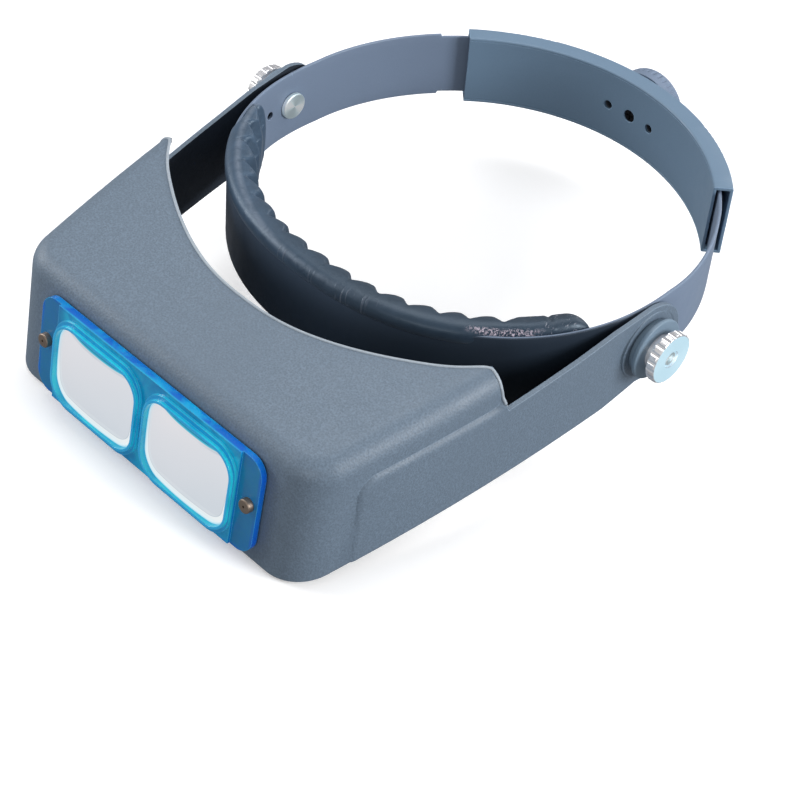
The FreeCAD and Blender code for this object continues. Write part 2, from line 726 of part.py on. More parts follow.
def visor_shell():
    outer = hood_block(0.0, DECK_FILLET)
    inner = hood_block(-VISOR_T, DECK_FILLET - VISOR_T)

    # Arm panel, standing proud of each side wall.
    panel_out = soften(panel_slab(PANEL_PROUD).common(panel_prism(0, 60, 9.0)))
    panel_in = panel_slab(PANEL_PROUD - VISOR_T).common(panel_prism(2.6, 55, 7.0))
    outer = outer.fuse(panel_out).fuse(mirror_x(panel_out))
    inner = inner.fuse(panel_in).fuse(mirror_x(panel_in))
    hood = outer.cut(inner)

    hood = hood.common(prism_x(silhouette(), -150, 150))
    hood = hood.cut(forehead_cutter())

    # Window behind the lenses and holes for the stud sockets.
    hood = hood.cut(place(rounded_block(43.8, 15.2, 6.0, 0, 0.6, -12, 24)))
    for side in SIDES:
        hood = hood.cut(place(stud_cylinder(side, SOCKET_R, -20, 30)))

    # Flat seats round the pivot holes, inside and out, and the holes.
    for side in SIDES:
        hood = hood.fuse(on_side(side, cyl_x(SEAT_R, *SEAT_X)))
        hood = hood.cut(on_side(side, cyl_x(SEAT_R, 80.0, SEAT_X[0])))
        hood = hood.cut(on_side(side, cyl_x(SEAT_R, SEAT_X[1], 95.0)))
    hood = hood.cut(cyl_x(ARM_HOLE_R, -120, 120))
    # keep the hood itself, not loose scraps
    return max(hood.Solids, key=lambda solid: solid.Volume).removeSplitter()


def stud_socket(side):
    """Flanged sleeve in the hood's front wall for one stud."""
    sleeve_r = SOCKET_R - 0.03
    back_z = HOOD_FACE_Z - VISOR_T
    socket = stud_cylinder(side, sleeve_r, back_z, VISOR_T)
    socket = socket.fuse(stud_cylinder(side, SOCKET_R + 1.2, back_z - 1.05, 1.0))
    # short neck that joins the flange to the sleeve
    socket = socket.fuse(stud_cylinder(side, sleeve_r, back_z - 0.08, 0.1))
    socket = socket.cut(stud_cylinder(side, STUD_R + 0.05, -20, 40))
    return place(socket.removeSplitter())


# ------------------------------------------------------------- lens plate
def window_block(side, grow_w, grow_h, z0, depth):
    """Block over one lens window, larger than it by grow_w and grow_h."""
    return rounded_block(LENS_A + grow_w, LENS_B + grow_h, LENS_R + grow_w,
                         side * LENS_X, LENS_Y, z0, depth)


def lens_frame():
    frame = rounded_block(PLATE_W / 2, PLATE_H / 2, PLATE_CORNER_R, 0, 0, -PLATE_T, PLATE_T)
    # thinner end strips
    for x0 in (-PLATE_W / 2 - 1, PLATE_W / 2 - STRIP_W):
        frame = frame.cut(Part.makeBox(STRIP_W + 1, PLATE_H + 2, PLATE_T,
                                       Vector(x0, -PLATE_H / 2 - 1, STRIP_Z)))
    for side in SIDES:
        base = window_block(side, BASE_W, BASE_H, -0.5, 0.5 + BASE_RISE)
        rim = window_block(side, RIM_W, RIM_W, -0.5, 0.5 + RIM_H)
        frame = frame.fuse(base).fuse(rim)
    for side in SIDES:
        frame = frame.cut(window_block(side, 0, 0, -10, 20))
        frame = frame.cut(stud_cylinder(side, STUD_R + 0.02, -10, 20))
    return place(frame.removeSplitter())


def lens(side):
    """Magnifying lens with a bulged front and a flat back, in its window."""
    blank = window_block(side, -LENS_FIT, -LENS_FIT, -2.9, 6.0)
    ball = Part.makeSphere(LENS_BALL_R,
                           Vector(side * LENS_X, LENS_Y, LENS_CROWN - LENS_BALL_R))
    return place(blank.common(ball))


def lens_stud(side):
    """Stud with a small hole in its head, through the plate's end strip."""
    head_z = STRIP_Z + 0.03
    stud = stud_cylinder(side, STUD_HEAD_R, head_z, STUD_HEAD_T)
    stud = stud.makeFillet(0.5, rim_circles(stud, "Z", head_z + STUD_HEAD_T))
    stud = stud.fuse(stud_cylinder(side, STUD_R - 0.02, STRIP_Z - 8.3, 8.4))
    stud = stud.cut(stud_cylinder(side, 0.45, STRIP_Z + 1.2, 3))
    return place(stud.removeSplitter())


def both(build):
    """Left and right pieces of a builder, as one compound."""
    return Part.makeCompound([build(side) for side in SIDES])


# ------------------------------------------------------------------ pieces
save("front_band", front_band())
save("sweatband_foam", sweatband_foam())
save("sweatband_cover", sweatband_cover())
save_pair("pivot_bolt", pivot_bolt())
save("friction_washers", friction_washers())
save("right_strap", strap(RIGHT_R, 1))
save("left_strap", strap(LEFT_R, -1))
save("rear_housing", rear_housing())
save("rear_cover", rear_cover())
save("guide_rivets", both(guide_rivet))
save("knob_bush", knob_bush())
save("size_knob", size_knob())
save("knob_pinion", knob_pinion())
save("knob_screw", knob_screw())
save("knob_spring_washer", knob_spring_washer())
save("visor_shell", visor_shell())
save("stud_sockets", both(stud_socket))
save("lens_frame", lens_frame())
save("left_lens", lens(-1))
save("right_lens", lens(1))
save("lens_studs", both(lens_stud))
save_pair("clamp_disc", clamp_disc())
save_pair("thumb_nut", thumb_nut())
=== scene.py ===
# Head visor magnifier: a hood with a twin-lens plate, hinged on a padded head band.
# The brow faces -Y and +Z is up; "left" is -X and "right" is +X. The head band is
# centred on the Z axis and the hood's pivots lie on an X axis a little in front of it.
# Geometry is in millimetres unless noted; shader distances are in metres.
import bpy, bmesh, math, random
import numpy as np
from types import SimpleNamespace
from mathutils import Vector, Matrix
from mathutils.bvhtree import BVHTree


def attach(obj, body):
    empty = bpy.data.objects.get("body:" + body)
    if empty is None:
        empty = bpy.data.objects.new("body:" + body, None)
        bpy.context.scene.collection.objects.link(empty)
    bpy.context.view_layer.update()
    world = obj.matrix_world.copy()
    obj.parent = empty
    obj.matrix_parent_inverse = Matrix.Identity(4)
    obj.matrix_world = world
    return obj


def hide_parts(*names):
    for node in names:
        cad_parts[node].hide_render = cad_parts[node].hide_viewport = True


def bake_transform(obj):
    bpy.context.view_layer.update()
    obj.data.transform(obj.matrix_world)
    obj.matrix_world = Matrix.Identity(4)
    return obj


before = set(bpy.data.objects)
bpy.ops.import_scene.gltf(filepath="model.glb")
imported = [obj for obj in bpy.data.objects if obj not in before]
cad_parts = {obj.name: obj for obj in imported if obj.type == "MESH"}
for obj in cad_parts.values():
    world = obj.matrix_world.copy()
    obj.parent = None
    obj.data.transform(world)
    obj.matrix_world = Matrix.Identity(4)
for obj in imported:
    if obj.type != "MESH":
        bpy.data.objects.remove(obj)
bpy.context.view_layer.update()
MM = 0.001
scene = bpy.context.scene
scene.view_settings.view_transform = "Standard"
scene.view_settings.look = "None"
scene.view_settings.exposure = 0.0

BAND_H, BAND_T = 27.0, 1.2            # front band height and thickness
HALF_BAND = BAND_H / 2.0
TEMPLE_R = 86.0                       # band radius at the temples
STRAP_H, STRAP_T = 25.0, 1.1          # rear straps
LEFT_R, RIGHT_R = 85.65, 83.55        # the straps lap at the back, left one outside
PIVOT_Y = -13.0
SHARP_ANGLE = math.radians(32)        # edges steeper than this stay crisp
# Outer radius of the front band: (degrees from the brow, radius).
BAND_OUTLINE = [(0, 86.3), (15, 87.5), (30, 89.2), (45, 90.1),
                (60, 89.9), (75, 88.5), (84, 87.3), (90, 86.6)]


# ------------------------------------------------------------ small helpers
def srgb(r, g, b):
    def linear(c):
        return c / 12.92 if c <= 0.04045 else ((c + 0.055) / 1.055) ** 2.4
    return (linear(r), linear(g), linear(b), 1.0)


def shade(colour, factor):
    return (colour[0] * factor, colour[1] * factor, colour[2] * factor, 1)


def new_obj(name, verts, faces, smooth=True):
    """Make an object from points in millimetres, with its normals outwards."""
    mesh = bpy.data.meshes.new(name)
    mesh.from_pydata([Vector(v) * MM for v in verts], [], faces)
    mesh.validate()
    bm = bmesh.new()
    bm.from_mesh(mesh)
    bmesh.ops.recalc_face_normals(bm, faces=bm.faces)
    bm.to_mesh(mesh)
    bm.free()
    obj = bpy.data.objects.new(name, mesh)
    scene.collection.objects.link(obj)
    if smooth:
        smooth_faces(mesh)
    return obj


def smooth_faces(mesh):
    for face in mesh.polygons:
        face.use_smooth = True


def apply_mods(obj):
    depsgraph = bpy.context.evaluated_depsgraph_get()
    depsgraph.update()
    mesh = bpy.data.meshes.new_from_object(obj.evaluated_get(depsgraph))
    obj.modifiers.clear()
    obj.data = mesh


def polar(radius, degrees):
    """Plan point at an angle from the brow, positive to the right."""
    angle = math.radians(degrees)
    return (radius * math.sin(angle), -radius * math.cos(angle))


def mirrored_spline(stations):
    """Natural cubic through (position, value) stations and their mirror, as a function."""
    mirror = [(-pos, value) for pos, value in reversed(stations[1:])]
    xs, ys = np.array(mirror + stations, float).T
    n = len(xs)
    gap = np.diff(xs)
    system = np.zeros((n, n))
    rhs = np.zeros(n)
    system[0, 0] = system[-1, -1] = 1
    for i in range(1, n - 1):
        system[i, i - 1:i + 2] = gap[i - 1], 2 * (gap[i - 1] + gap[i]), gap[i]
        rhs[i] = 6 * ((ys[i + 1] - ys[i]) / gap[i] - (ys[i] - ys[i - 1]) / gap[i - 1])
    curve = np.linalg.solve(system, rhs)

    def value(x):
        i = int(min(max(np.searchsorted(xs, x) - 1, 0), n - 2))
        t = x - xs[i]
        slope = (ys[i + 1] - ys[i]) / gap[i] - gap[i] * (2 * curve[i] + curve[i + 1]) / 6
        return (ys[i] + t * slope
                + t * t * curve[i] / 2 + t ** 3 * (curve[i + 1] - curve[i]) / (6 * gap[i]))
    return value


band_spline = mirrored_spline(BAND_OUTLINE)


def band_out(degrees):
    return band_spline(max(-90.0, min(90.0, degrees)))


def smoothstep(t):
    t = min(1.0, max(0.0, t))
    return t * t * (3 - 2 * t)


# --------------------------------------------------------- material builder
class Shader:
    """Builds one node material; the helpers return output sockets."""

    def __init__(self, name):
        self.material = bpy.data.materials.new(name)
        self.material.use_nodes = True
        self.tree = self.material.node_tree
        self.tree.nodes.clear()
        self.output = self.tree.nodes.new("ShaderNodeOutputMaterial")
        self.place = self.tree.nodes.new("ShaderNodeTexCoord").outputs["Object"]

    def node(self, kind, inputs=None, **settings):
        """Add a node; an input is either a value or a socket to link from."""
        node = self.tree.nodes.new("ShaderNode" + kind)
        for key, value in settings.items():
            setattr(node, key, value)
        for key, value in (inputs or {}).items():
            if hasattr(value, "is_output"):
                self.tree.links.new(value, node.inputs[key])
            else:
                node.inputs[key].default_value = value
        return node

    def noise(self, scale, detail=2.0, rough=0.5, vector=None, distort=0.0):
        return self.node("TexNoise", {"Vector": vector or self.place, "Scale": scale,
                                      "Detail": detail, "Roughness": rough,
                                      "Distortion": distort}).outputs["Fac"]

    def voronoi(self, scale, feature="SMOOTH_F1"):
        return self.node("TexVoronoi", {"Vector": self.place, "Scale": scale},
                         feature=feature).outputs["Distance"]

    def stretched(self, scale):
        return self.node("Mapping", {"Vector": self.place, "Scale": scale}).outputs[0]

    def xyz(self, vector=None):
        return self.node("SeparateXYZ", {0: vector or self.place}).outputs

    def normal(self):
        return self.node("NewGeometry").outputs["Normal"]

    def dot(self, a, b):
        return self.node("VectorMath", {0: a, 1: b}, operation="DOT_PRODUCT").outputs["Value"]

    def math(self, operation, a, b=0.0, clamp=False):
        return self.node("Math", {0: a, 1: b}, operation=operation, use_clamp=clamp).outputs[0]

    def add(self, a, b):
        return self.math("ADD", a, b)

    def sub(self, a, b):
        return self.math("SUBTRACT", a, b)

    def abs(self, a):
        return self.math("ABSOLUTE", a)

    def mul(self, *factors, clamp=False):
        """Product from left to right; only the last step is clamped."""
        product, *middle, last = factors
        for factor in middle:
            product = self.math("MULTIPLY", product, factor)
        return self.math("MULTIPLY", product, last, clamp)

    def length(self, a, b):
        return self.math("SQRT", self.add(self.mul(a, a), self.mul(b, b)))

    def remap(self, value, over=(0.0, 1.0), to=(0.0, 1.0)):
        """Go from to[0] to to[1] while the value crosses the range "over"."""
        return self.node("MapRange", {"Value": value, "From Min": over[0], "From Max": over[1],
                                      "To Min": to[0], "To Max": to[1]}).outputs["Result"]

    def fall(self, value, over):
        return self.remap(value, over, to=(1.0, 0.0))

    def near(self, value, centre, over):
        """1 close to the centre, falling to 0 over a range of distances from it."""
        return self.fall(self.abs(self.sub(value, centre)), over)

    def ramp(self, value, stops):
        node = self.node("ValToRGB", {"Fac": value})
        elements = node.color_ramp.elements
        while len(elements) < len(stops):
            elements.new(0.5)
        for element, (position, colour) in zip(elements, stops):
            element.position = position
            element.color = colour
        return node.outputs["Color"]

    def mix(self, amount, below, above):
        return self.node("Mix", {0: amount, 6: below, 7: above}, data_type="RGBA").outputs[2]

    def lay(self, below, above, *masks, amount):
        """Lay a colour over another where all the masks are on."""
        return self.mix(self.mul(*masks, amount, clamp=True), below, above)

    def bump(self, height, strength, depth, normal=None):
        inputs = {"Height": height, "Strength": strength, "Distance": depth}
        if normal is not None:
            inputs["Normal"] = normal
        return self.node("Bump", inputs).outputs["Normal"]

    def edges(self, radius):
        """Mask that is 1 on real edges and 0 on open faces, and the rounded normal."""
        rounded = self.node("Bevel", {"Radius": radius}, samples=5).outputs["Normal"]
        return self.fall(self.dot(rounded, self.normal()), over=(0.80, 0.985)), rounded

    def principled(self, **inputs):
        named = {key.replace("_", " "): value for key, value in inputs.items()}
        return self.node("BsdfPrincipled", named).outputs[0]

    def surface(self, shader):
        self.tree.links.new(shader, self.output.inputs["Surface"])
        return self.material


# ----------------------------------------------------------------- plastics
def band_painted_shade(mat):
    """Mask for painted shade on the front band: outer face, low down, off the temples."""
    x, y, z = mat.xyz()
    normal_x, normal_y, _ = mat.xyz(mat.normal())
    outward = mat.add(mat.mul(x, normal_x), mat.mul(y, normal_y))
    outer = mat.remap(outward, over=(0.0, 0.05))
    front_left = mat.fall(y, over=(-0.052, -0.022))
    front_right = mat.fall(y, over=(-0.027, -0.010))
    right = mat.remap(x, over=(-0.02, 0.02))
    front = mat.add(mat.mul(front_left, mat.sub(1.0, right)), mat.mul(front_right, right))
    low = mat.remap(z, over=(-0.004, 0.013), to=(1.0, 0.85))
    off_left = mat.remap(x, over=(-0.066, -0.034), to=(0.12, 1.0))
    return mat.mul(mat.mul(outer, front), mat.mul(low, off_left), 0.92)


def flatten_joint(mat, edge, rounded):
    """Take the painted edge highlight and rounding off the butt joint of band and straps."""
    from_joint = mat.abs(mat.add(mat.xyz()["Y"], -PIVOT_Y * MM))
    away = mat.math("MAXIMUM", mat.remap(from_joint, over=(0.0012, 0.0020)),
                    mat.remap(mat.abs(mat.xyz()["Z"]), over=(0.0124, 0.0130)))
    normal = mat.node("Mix", {}, data_type="VECTOR")
    for key, value in ((0, away), (4, mat.normal()), (5, rounded)):
        mat.tree.links.new(value, normal.inputs[key])
    return mat.mul(edge, away), normal.outputs[1]


def plastic(name, colour, rough, grain, grain_scale, spec, speck, edge_highlight, round_mm=0.55,
            painted_shade_tint=None, joint=False):
    """Moulded plastic: fine texture, slow colour drift, painted highlight on edges; given a
    shade tint, painted shade on the front band.
    """
    mat = Shader(name)
    fine = mat.noise(grain_scale, rough=0.55)
    pebbles = mat.voronoi(grain_scale * 0.8)
    drift = mat.noise(14.0, detail=3.0, rough=0.6)
    patches = mat.noise(120.0, detail=3.0, rough=0.6)
    speckle = mat.add(mat.mul(fine, 0.6), mat.mul(pebbles, 0.55))
    body = mat.ramp(speckle, [(0.30, shade(colour, 1 - speck * 1.6)), (0.52, colour),
                              (0.72, shade(colour, 1 + speck * 1.8))])
    body = mat.mix(mat.remap(drift, over=(0.3, 0.7), to=(0.0, 0.5)), body, shade(colour, 0.92))
    roughness = mat.add(mat.remap(patches, over=(0.3, 0.7), to=(rough - 0.05, rough + 0.05)),
                        mat.mul(fine, 0.05))
    if painted_shade_tint:
        # painted shade: a dark tint low on the front band's outer face, darker still on its
        # right side
        painted_shade = band_painted_shade(mat)
        body = mat.mix(painted_shade, body, painted_shade_tint)
        right = mat.remap(mat.xyz()["X"], over=(0.020, 0.066))
        body = mat.lay(body, shade(painted_shade_tint, 0.12), right, painted_shade, amount=0.72)
        spec = mat.remap(painted_shade, over=(0.0, 0.9), to=(spec, 0.16))
        roughness = mat.add(roughness, mat.mul(painted_shade, 0.12))
    edge, rounded = mat.edges(round_mm * MM)
    if joint:
        edge, rounded = flatten_joint(mat, edge, rounded)
    # painted highlight on edges, broken up in patches
    highlight_breakup = mat.remap(patches, over=(0.35, 0.6), to=(0.6, 1.0))
    body = mat.lay(body, shade(colour, 2.3), edge, highlight_breakup, amount=edge_highlight)
    height = mat.add(mat.mul(pebbles, 0.7), mat.mul(fine, 0.5))
    normal = mat.bump(height, strength=grain, depth=0.00014, normal=rounded)
    normal = mat.bump(patches, strength=0.06, depth=0.0003, normal=normal)
    return mat.surface(mat.principled(Base_Color=body, Roughness=roughness,
                                      Specular_IOR_Level=spec, Normal=normal,
                                      Coat_Roughness=0.35))


BAND_COLOUR = srgb(0.430, 0.492, 0.580)
# Name: colour, roughness, grain strength, grain scale, specular, speckle, painted edge
# highlight.
PLASTICS = {
    "hood_pebble_plastic": (srgb(0.385, 0.445, 0.507), 0.46, 0.75, 1900.0, 0.42, 0.12, 0.75),
    # pale lip colour: a painted highlight along the cut-out
    "hood_lip_painted_highlight": (srgb(0.60, 0.64, 0.68), 0.42, 0.3, 1500.0, 0.45, 0.06, 0.2),
    # dark inside of the hood, also used as painted shade in the pocket behind each raised side
    # panel
    "hood_dark_inside_and_pocket_shade": (srgb(0.140, 0.170, 0.210), 0.62, 0.5, 1500.0, 0.25, 0.10, 0.2),
    "front_band_plastic": (BAND_COLOUR, 0.40, 0.10, 2600.0, 0.5, 0.02, 0.8),
    "band_satin_plastic": (BAND_COLOUR, 0.40, 0.10, 2600.0, 0.5, 0.02, 0.80),
    "housing_satin_plastic": (srgb(0.400, 0.495, 0.585), 0.38, 0.12, 2400.0, 0.5, 0.02, 0.8),
    "knob_satin_plastic": (BAND_COLOUR, 0.45, 0.2, 2200.0, 0.45, 0.03, 0.35),
    "disc_satin_plastic": (srgb(0.43, 0.51, 0.58), 0.42, 0.15, 2400.0, 0.5, 0.03, 0.4),
    "nylon_dark": (srgb(0.20, 0.22, 0.25), 0.5, 0.15, 2400.0, 0.4, 0.04, 0.2),
    "acetal_black": (srgb(0.15, 0.16, 0.18), 0.35, 0.08, 2400.0, 0.5, 0.03, 0.2),
    "socket_rubber": (srgb(0.12, 0.13, 0.14), 0.75, 0.3, 1800.0, 0.25, 0.05, 0.1),
}
PLASTIC_EXTRAS = {
    "hood_lip_painted_highlight": dict(round_mm=0.1),
    # the front band carries painted shade in this tint
    "front_band_plastic": dict(painted_shade_tint=srgb(0.122, 0.180, 0.240), joint=True),
    "band_satin_plastic": dict(joint=True),
}
plastics = {name: plastic(name, *row, **PLASTIC_EXTRAS.get(name, {}))
            for name, row in PLASTICS.items()}


# -------------------------------------------------------------- leatherette
def leather_base(mat, colour, fine, wrinkles):
    """Mottled colour, painted highlight on ridges and painted shade in folds, with its grain as
    bumps.
    """
    body = mat.ramp(fine, [(0.28, shade(colour, 0.80)), (0.5, colour),
                           (0.72, shade(colour, 1.22))])
    body = mat.mix(mat.remap(wrinkles, over=(0.35, 0.7), to=(0.0, 0.6)), body,
                   shade(colour, 0.72))
    # painted highlight on convex ridges, painted shade in concave folds
    pointiness = mat.node("NewGeometry").outputs["Pointiness"]
    body = mat.lay(body, shade(colour, 1.75), mat.remap(pointiness, over=(0.50, 0.60)),
                   amount=0.45)
    body = mat.lay(body, shade(colour, 0.45), mat.fall(pointiness, over=(0.40, 0.49)),
                   amount=0.55)
    cells = mat.math("MINIMUM", mat.voronoi(1500.0, "DISTANCE_TO_EDGE"), 0.25)
    normal = mat.bump(cells, strength=0.25, depth=0.0002)
    pores = mat.noise(900.0, detail=3.0, rough=0.6)
    normal = mat.bump(pores, strength=0.12, depth=0.0002, normal=normal)
    normal = mat.bump(fine, strength=0.22, depth=0.0005, normal=normal)
    return body, mat.bump(wrinkles, strength=0.25, depth=0.0012, normal=normal)


def leatherette():
    """Sweatband cover; its painted shade, painted highlights and wear are placed by plan radius
    and angle from the brow.
    """
    mat = Shader("sweatband_leatherette")
    colour = srgb(0.228, 0.300, 0.378)
    wrinkles = mat.noise(70.0, detail=4.0, rough=0.55, distort=0.6)
    fine = mat.noise(260.0, detail=4.0, rough=0.62, distort=0.9)
    body, normal = leather_base(mat, colour, fine, wrinkles)
    x, y, z = mat.xyz()
    radius = mat.length(x, y)
    angle = mat.math("ARCTAN2", x, mat.mul(y, -1.0))
    # painted shade: darker over the brow and to the right
    body = mat.mix(mat.remap(angle, over=(-0.45, 0.30), to=(0.0, 0.74)), body,
                   shade(colour, 0.28))
    # painted shade towards the pleats, painted highlight along the top outer ridge
    inner_painted_shade = mat.mul(mat.fall(radius, over=(0.0785, 0.0855)),
                    mat.remap(angle, over=(-0.95, -0.55), to=(0.35, 1.0)))
    body = mat.lay(body, srgb(0.125, 0.175, 0.225), inner_painted_shade, amount=0.55)
    ridge_highlight = mat.mul(mat.near(radius, 0.0862, over=(0.0002, 0.0016)),
                    mat.remap(z, over=(0.0128, 0.0145)))
    ridge_highlight = mat.mul(ridge_highlight, mat.remap(angle, over=(-0.25, 0.30), to=(1.0, 0.15)))
    body = mat.lay(body, srgb(0.52, 0.55, 0.60), ridge_highlight,
                   mat.remap(fine, over=(0.35, 0.6), to=(0.35, 1.0)), amount=0.42)
    # pale creases near the brow, drawn across the band
    unrolled = mat.node("CombineXYZ", {0: mat.mul(angle, 0.088), 1: mat.mul(z, 0.10),
                                       2: mat.mul(radius, 0.10)}).outputs[0]
    streaks = mat.noise(620.0, vector=unrolled, distort=0.2)
    brow = mat.mul(mat.near(angle, 0.10, over=(0.16, 0.30)),
                   mat.near(radius, 0.0872, over=(0.0008, 0.0022)))
    creases = mat.mul(brow, mat.remap(streaks, over=(0.58, 0.66)))
    body = mat.lay(body, srgb(0.42, 0.44, 0.49), creases, amount=0.45)
    normal = mat.bump(creases, strength=0.4, depth=0.0005, normal=normal)
    # glossy, crinkled strip where the sleeve is glued down near the right end; its pale specks
    # are painted glints
    glue = mat.mul(mat.remap(angle, over=(0.69, 0.76)), mat.fall(angle, over=(0.90, 1.0)))
    glue = mat.mul(glue, mat.mul(mat.near(radius, 0.0884, over=(0.0004, 0.0012)),
                                 mat.remap(z, over=(0.0118, 0.0126))))
    crinkle_and_glint = mat.noise(900.0, detail=4.0, rough=0.75, distort=1.6,
                        vector=mat.stretched((1.0, 1.0, 0.45)))
    crinkle_and_glint = mat.mul(glue, mat.remap(crinkle_and_glint, over=(0.50, 0.57)))
    body = mat.lay(body, srgb(0.80, 0.74, 0.79), crinkle_and_glint, amount=0.85)
    normal = mat.bump(crinkle_and_glint, strength=0.5, depth=0.0005, normal=normal)
    # tucked right end: darker, with a few scratches high up
    end = mat.remap(angle, over=(0.992, 0.998))
    body = mat.mix(mat.mul(end, 0.40), body, shade(colour, 0.32))
    scratches = mat.noise(700.0, detail=3.0, rough=0.7, distort=0.8,
                          vector=mat.stretched((2.2, 0.5, 1.0)))
    high = mat.mul(end, mat.remap(z, over=(0.0075, 0.0115), to=(0.06, 1.0)))
    body = mat.lay(body, srgb(0.66, 0.66, 0.70), high,
                   mat.remap(scratches, over=(0.60, 0.66)), amount=0.6)
    rough = mat.sub(mat.remap(fine, over=(0.3, 0.7), to=(0.36, 0.54)), mat.mul(glue, 0.18))
    return mat.surface(mat.principled(
        Base_Color=body, Roughness=rough, Specular_IOR_Level=0.46,
        Specular_Tint=srgb(0.84, 0.93, 1.0), Normal=normal, Sheen_Weight=0.03,
        Sheen_Roughness=0.5, Coat_Weight=0.13, Coat_Roughness=0.34,
        Coat_Tint=srgb(0.86, 0.94, 1.0)))


# ------------------------------------------------------------------- metals
def metal(name, colour, rough, ring_scale=None, ring_depth=0.25, face_tint=None, glow=0.0):
    """Plain metal, or turned with rings round the pivot axis if given a ring scale; any glow is
    a painted glow.
    """
    mat = Shader(name)
    mottle = mat.noise(300.0, detail=3.0, rough=0.6)
    patches = mat.noise(60.0)
    body = mat.ramp(mottle, [(0.3, shade(colour, 0.93)), (0.7, shade(colour, 1.05))])
    if ring_scale:
        place = mat.xyz()
        y = mat.sub(place["Y"], PIVOT_Y * MM)
        z = mat.sub(place["Z"], 0.0)
        radial = mat.node("CombineXYZ", {0: mat.length(y, z), 1: 0.0, 2: 0.0}).outputs[0]
        height = mat.noise(ring_scale, detail=3.0, rough=0.7, vector=radial)
        # painted reflection: turned faces drawn with a broad bright fan, darker between
        turn = mat.add(mat.math("ARCTAN2", z, y), 0.5)
        painted_reflection_fan = mat.abs(mat.math("COSINE", turn))
        body = mat.mix(mat.remap(mat.math("POWER", painted_reflection_fan, 3.0), to=(0.50, 0.0)), body,
                       shade(colour, 0.42))
        body = mat.mix(mat.remap(mat.math("POWER", painted_reflection_fan, 6.0), to=(0.0, 0.85)), body,
                       (1.0, 1.0, 1.0, 1))
        body = mat.mix(mat.remap(height, over=(0.35, 0.7), to=(0.0, 0.30)), body,
                       shade(colour, 0.66))
        if face_tint:
            outward = mat.mul(mat.xyz(mat.normal())["X"], mat.math("SIGN", place["X"]))
            face = mat.remap(outward, over=(0.93, 0.985))
            body = mat.mix(mat.mul(face, 0.85), body, face_tint)
            # painted glow, strongest on the outer face
            glow = mat.remap(face, to=(glow * 0.25, glow))
    else:
        height = mat.noise(1600.0, rough=0.6)
    normal = mat.bump(height, strength=ring_depth, depth=0.00004)
    roughness = mat.remap(patches, over=(0.3, 0.7), to=(rough * 0.8, rough * 1.3))
    return mat.surface(mat.principled(
        Base_Color=body, Metallic=0.8 if face_tint else 1.0, Roughness=roughness,
        Normal=normal, Emission_Color=body, Emission_Strength=glow))


# ------------------------------------------------------------------ acrylic
# The lens plate's own frame: its centre (negated), and its forward and upward directions.
LENS_TILT = math.radians(7.86)
LENS_SHIFT = (0.0, 0.15435, 0.0143)
LENS_NORMAL = (0.0, -math.cos(LENS_TILT), math.sin(LENS_TILT))
LENS_UP = (0.0, math.sin(LENS_TILT), math.cos(LENS_TILT))


def from_lens_centre(mat):
    return mat.node("VectorMath", {0: mat.place, 1: LENS_SHIFT},
                    operation="ADD").outputs["Vector"]


def blue_acrylic():
    """Tinted clear plate: deep blue in its outer edges, painted cyan highlights on the rims, and
    a painted glow.
    """
    mat = Shader("blue_acrylic")
    place = from_lens_centre(mat)
    up = mat.abs(mat.dot(place, LENS_UP))
    out = mat.dot(place, LENS_NORMAL)
    across = mat.abs(mat.xyz()["X"])
    side = mat.fall(mat.abs(mat.dot(mat.normal(), LENS_NORMAL)), over=(0.35, 0.85))
    outer = mat.math("MAXIMUM", mat.remap(across, over=(0.0526, 0.0538)),
                     mat.remap(up, over=(0.0176, 0.0186)))
    corner = mat.mul(mat.remap(across, over=(0.036, 0.052)), mat.remap(up, over=(0.0, 0.013)))
    streak = mat.noise(55.0, detail=3.0, rough=0.6, distort=0.6)
    fine = mat.noise(1500.0)
    cloud = mat.noise(260.0, detail=3.0, rough=0.6, distort=0.8)
    # the face, with a strip down each end and paler steps towards the rim
    face = mat.mix(mat.remap(streak, over=(0.38, 0.62)), srgb(0.05, 0.49, 0.68),
                   srgb(0.10, 0.66, 0.80))
    face = mat.mix(mat.remap(across, over=(0.0444, 0.0450), to=(0.0, 0.9)), face,
                   srgb(0.10, 0.42, 0.60))
    face = mat.mix(mat.remap(cloud, over=(0.4, 0.7), to=(0.0, 0.45)), face,
                   srgb(0.08, 0.42, 0.68))
    face = mat.mix(mat.remap(out, over=(0.0004, 0.0010), to=(0.0, 0.85)), face,
                   srgb(0.10, 0.58, 0.80))
    face = mat.mix(mat.remap(out, over=(0.0015, 0.0019), to=(0.0, 0.9)), face,
                   srgb(0.16, 0.66, 0.86))
    # rim and walls; the rim's cyan streaks are painted highlights
    rim = mat.mix(mat.remap(streak, over=(0.3, 0.6)), srgb(0.02, 0.60, 0.78),
                  srgb(0.16, 0.80, 0.87))
    wall = mat.mix(mat.fall(streak, over=(0.40, 0.52)), srgb(0.0, 0.40, 0.76),
                   srgb(0.03, 0.64, 0.84))
    wall = mat.mix(mat.remap(out, over=(-0.0008, 0.0003)), wall, rim)
    body = mat.mix(side, face, wall)
    body = mat.lay(body, srgb(0.0, 0.34, 0.78), outer, corner, amount=0.85)
    # painted highlight along the plate's edges
    edge, rounded = mat.edges(0.0005)
    body = mat.lay(body, srgb(0.34, 0.80, 0.94), edge, amount=0.55)
    normal = mat.bump(fine, strength=0.05, depth=0.00005, normal=rounded)
    normal = mat.bump(cloud, strength=0.10, depth=0.0003, normal=normal)
    # painted glow: the plate emits part of its colour
    return mat.surface(mat.principled(
        Base_Color=body, Roughness=0.16, IOR=1.49, Transmission_Weight=0.30,
        Specular_IOR_Level=0.30, Normal=normal, Coat_Weight=0.30, Coat_Roughness=0.04,
        Emission_Color=body, Emission_Strength=0.20))


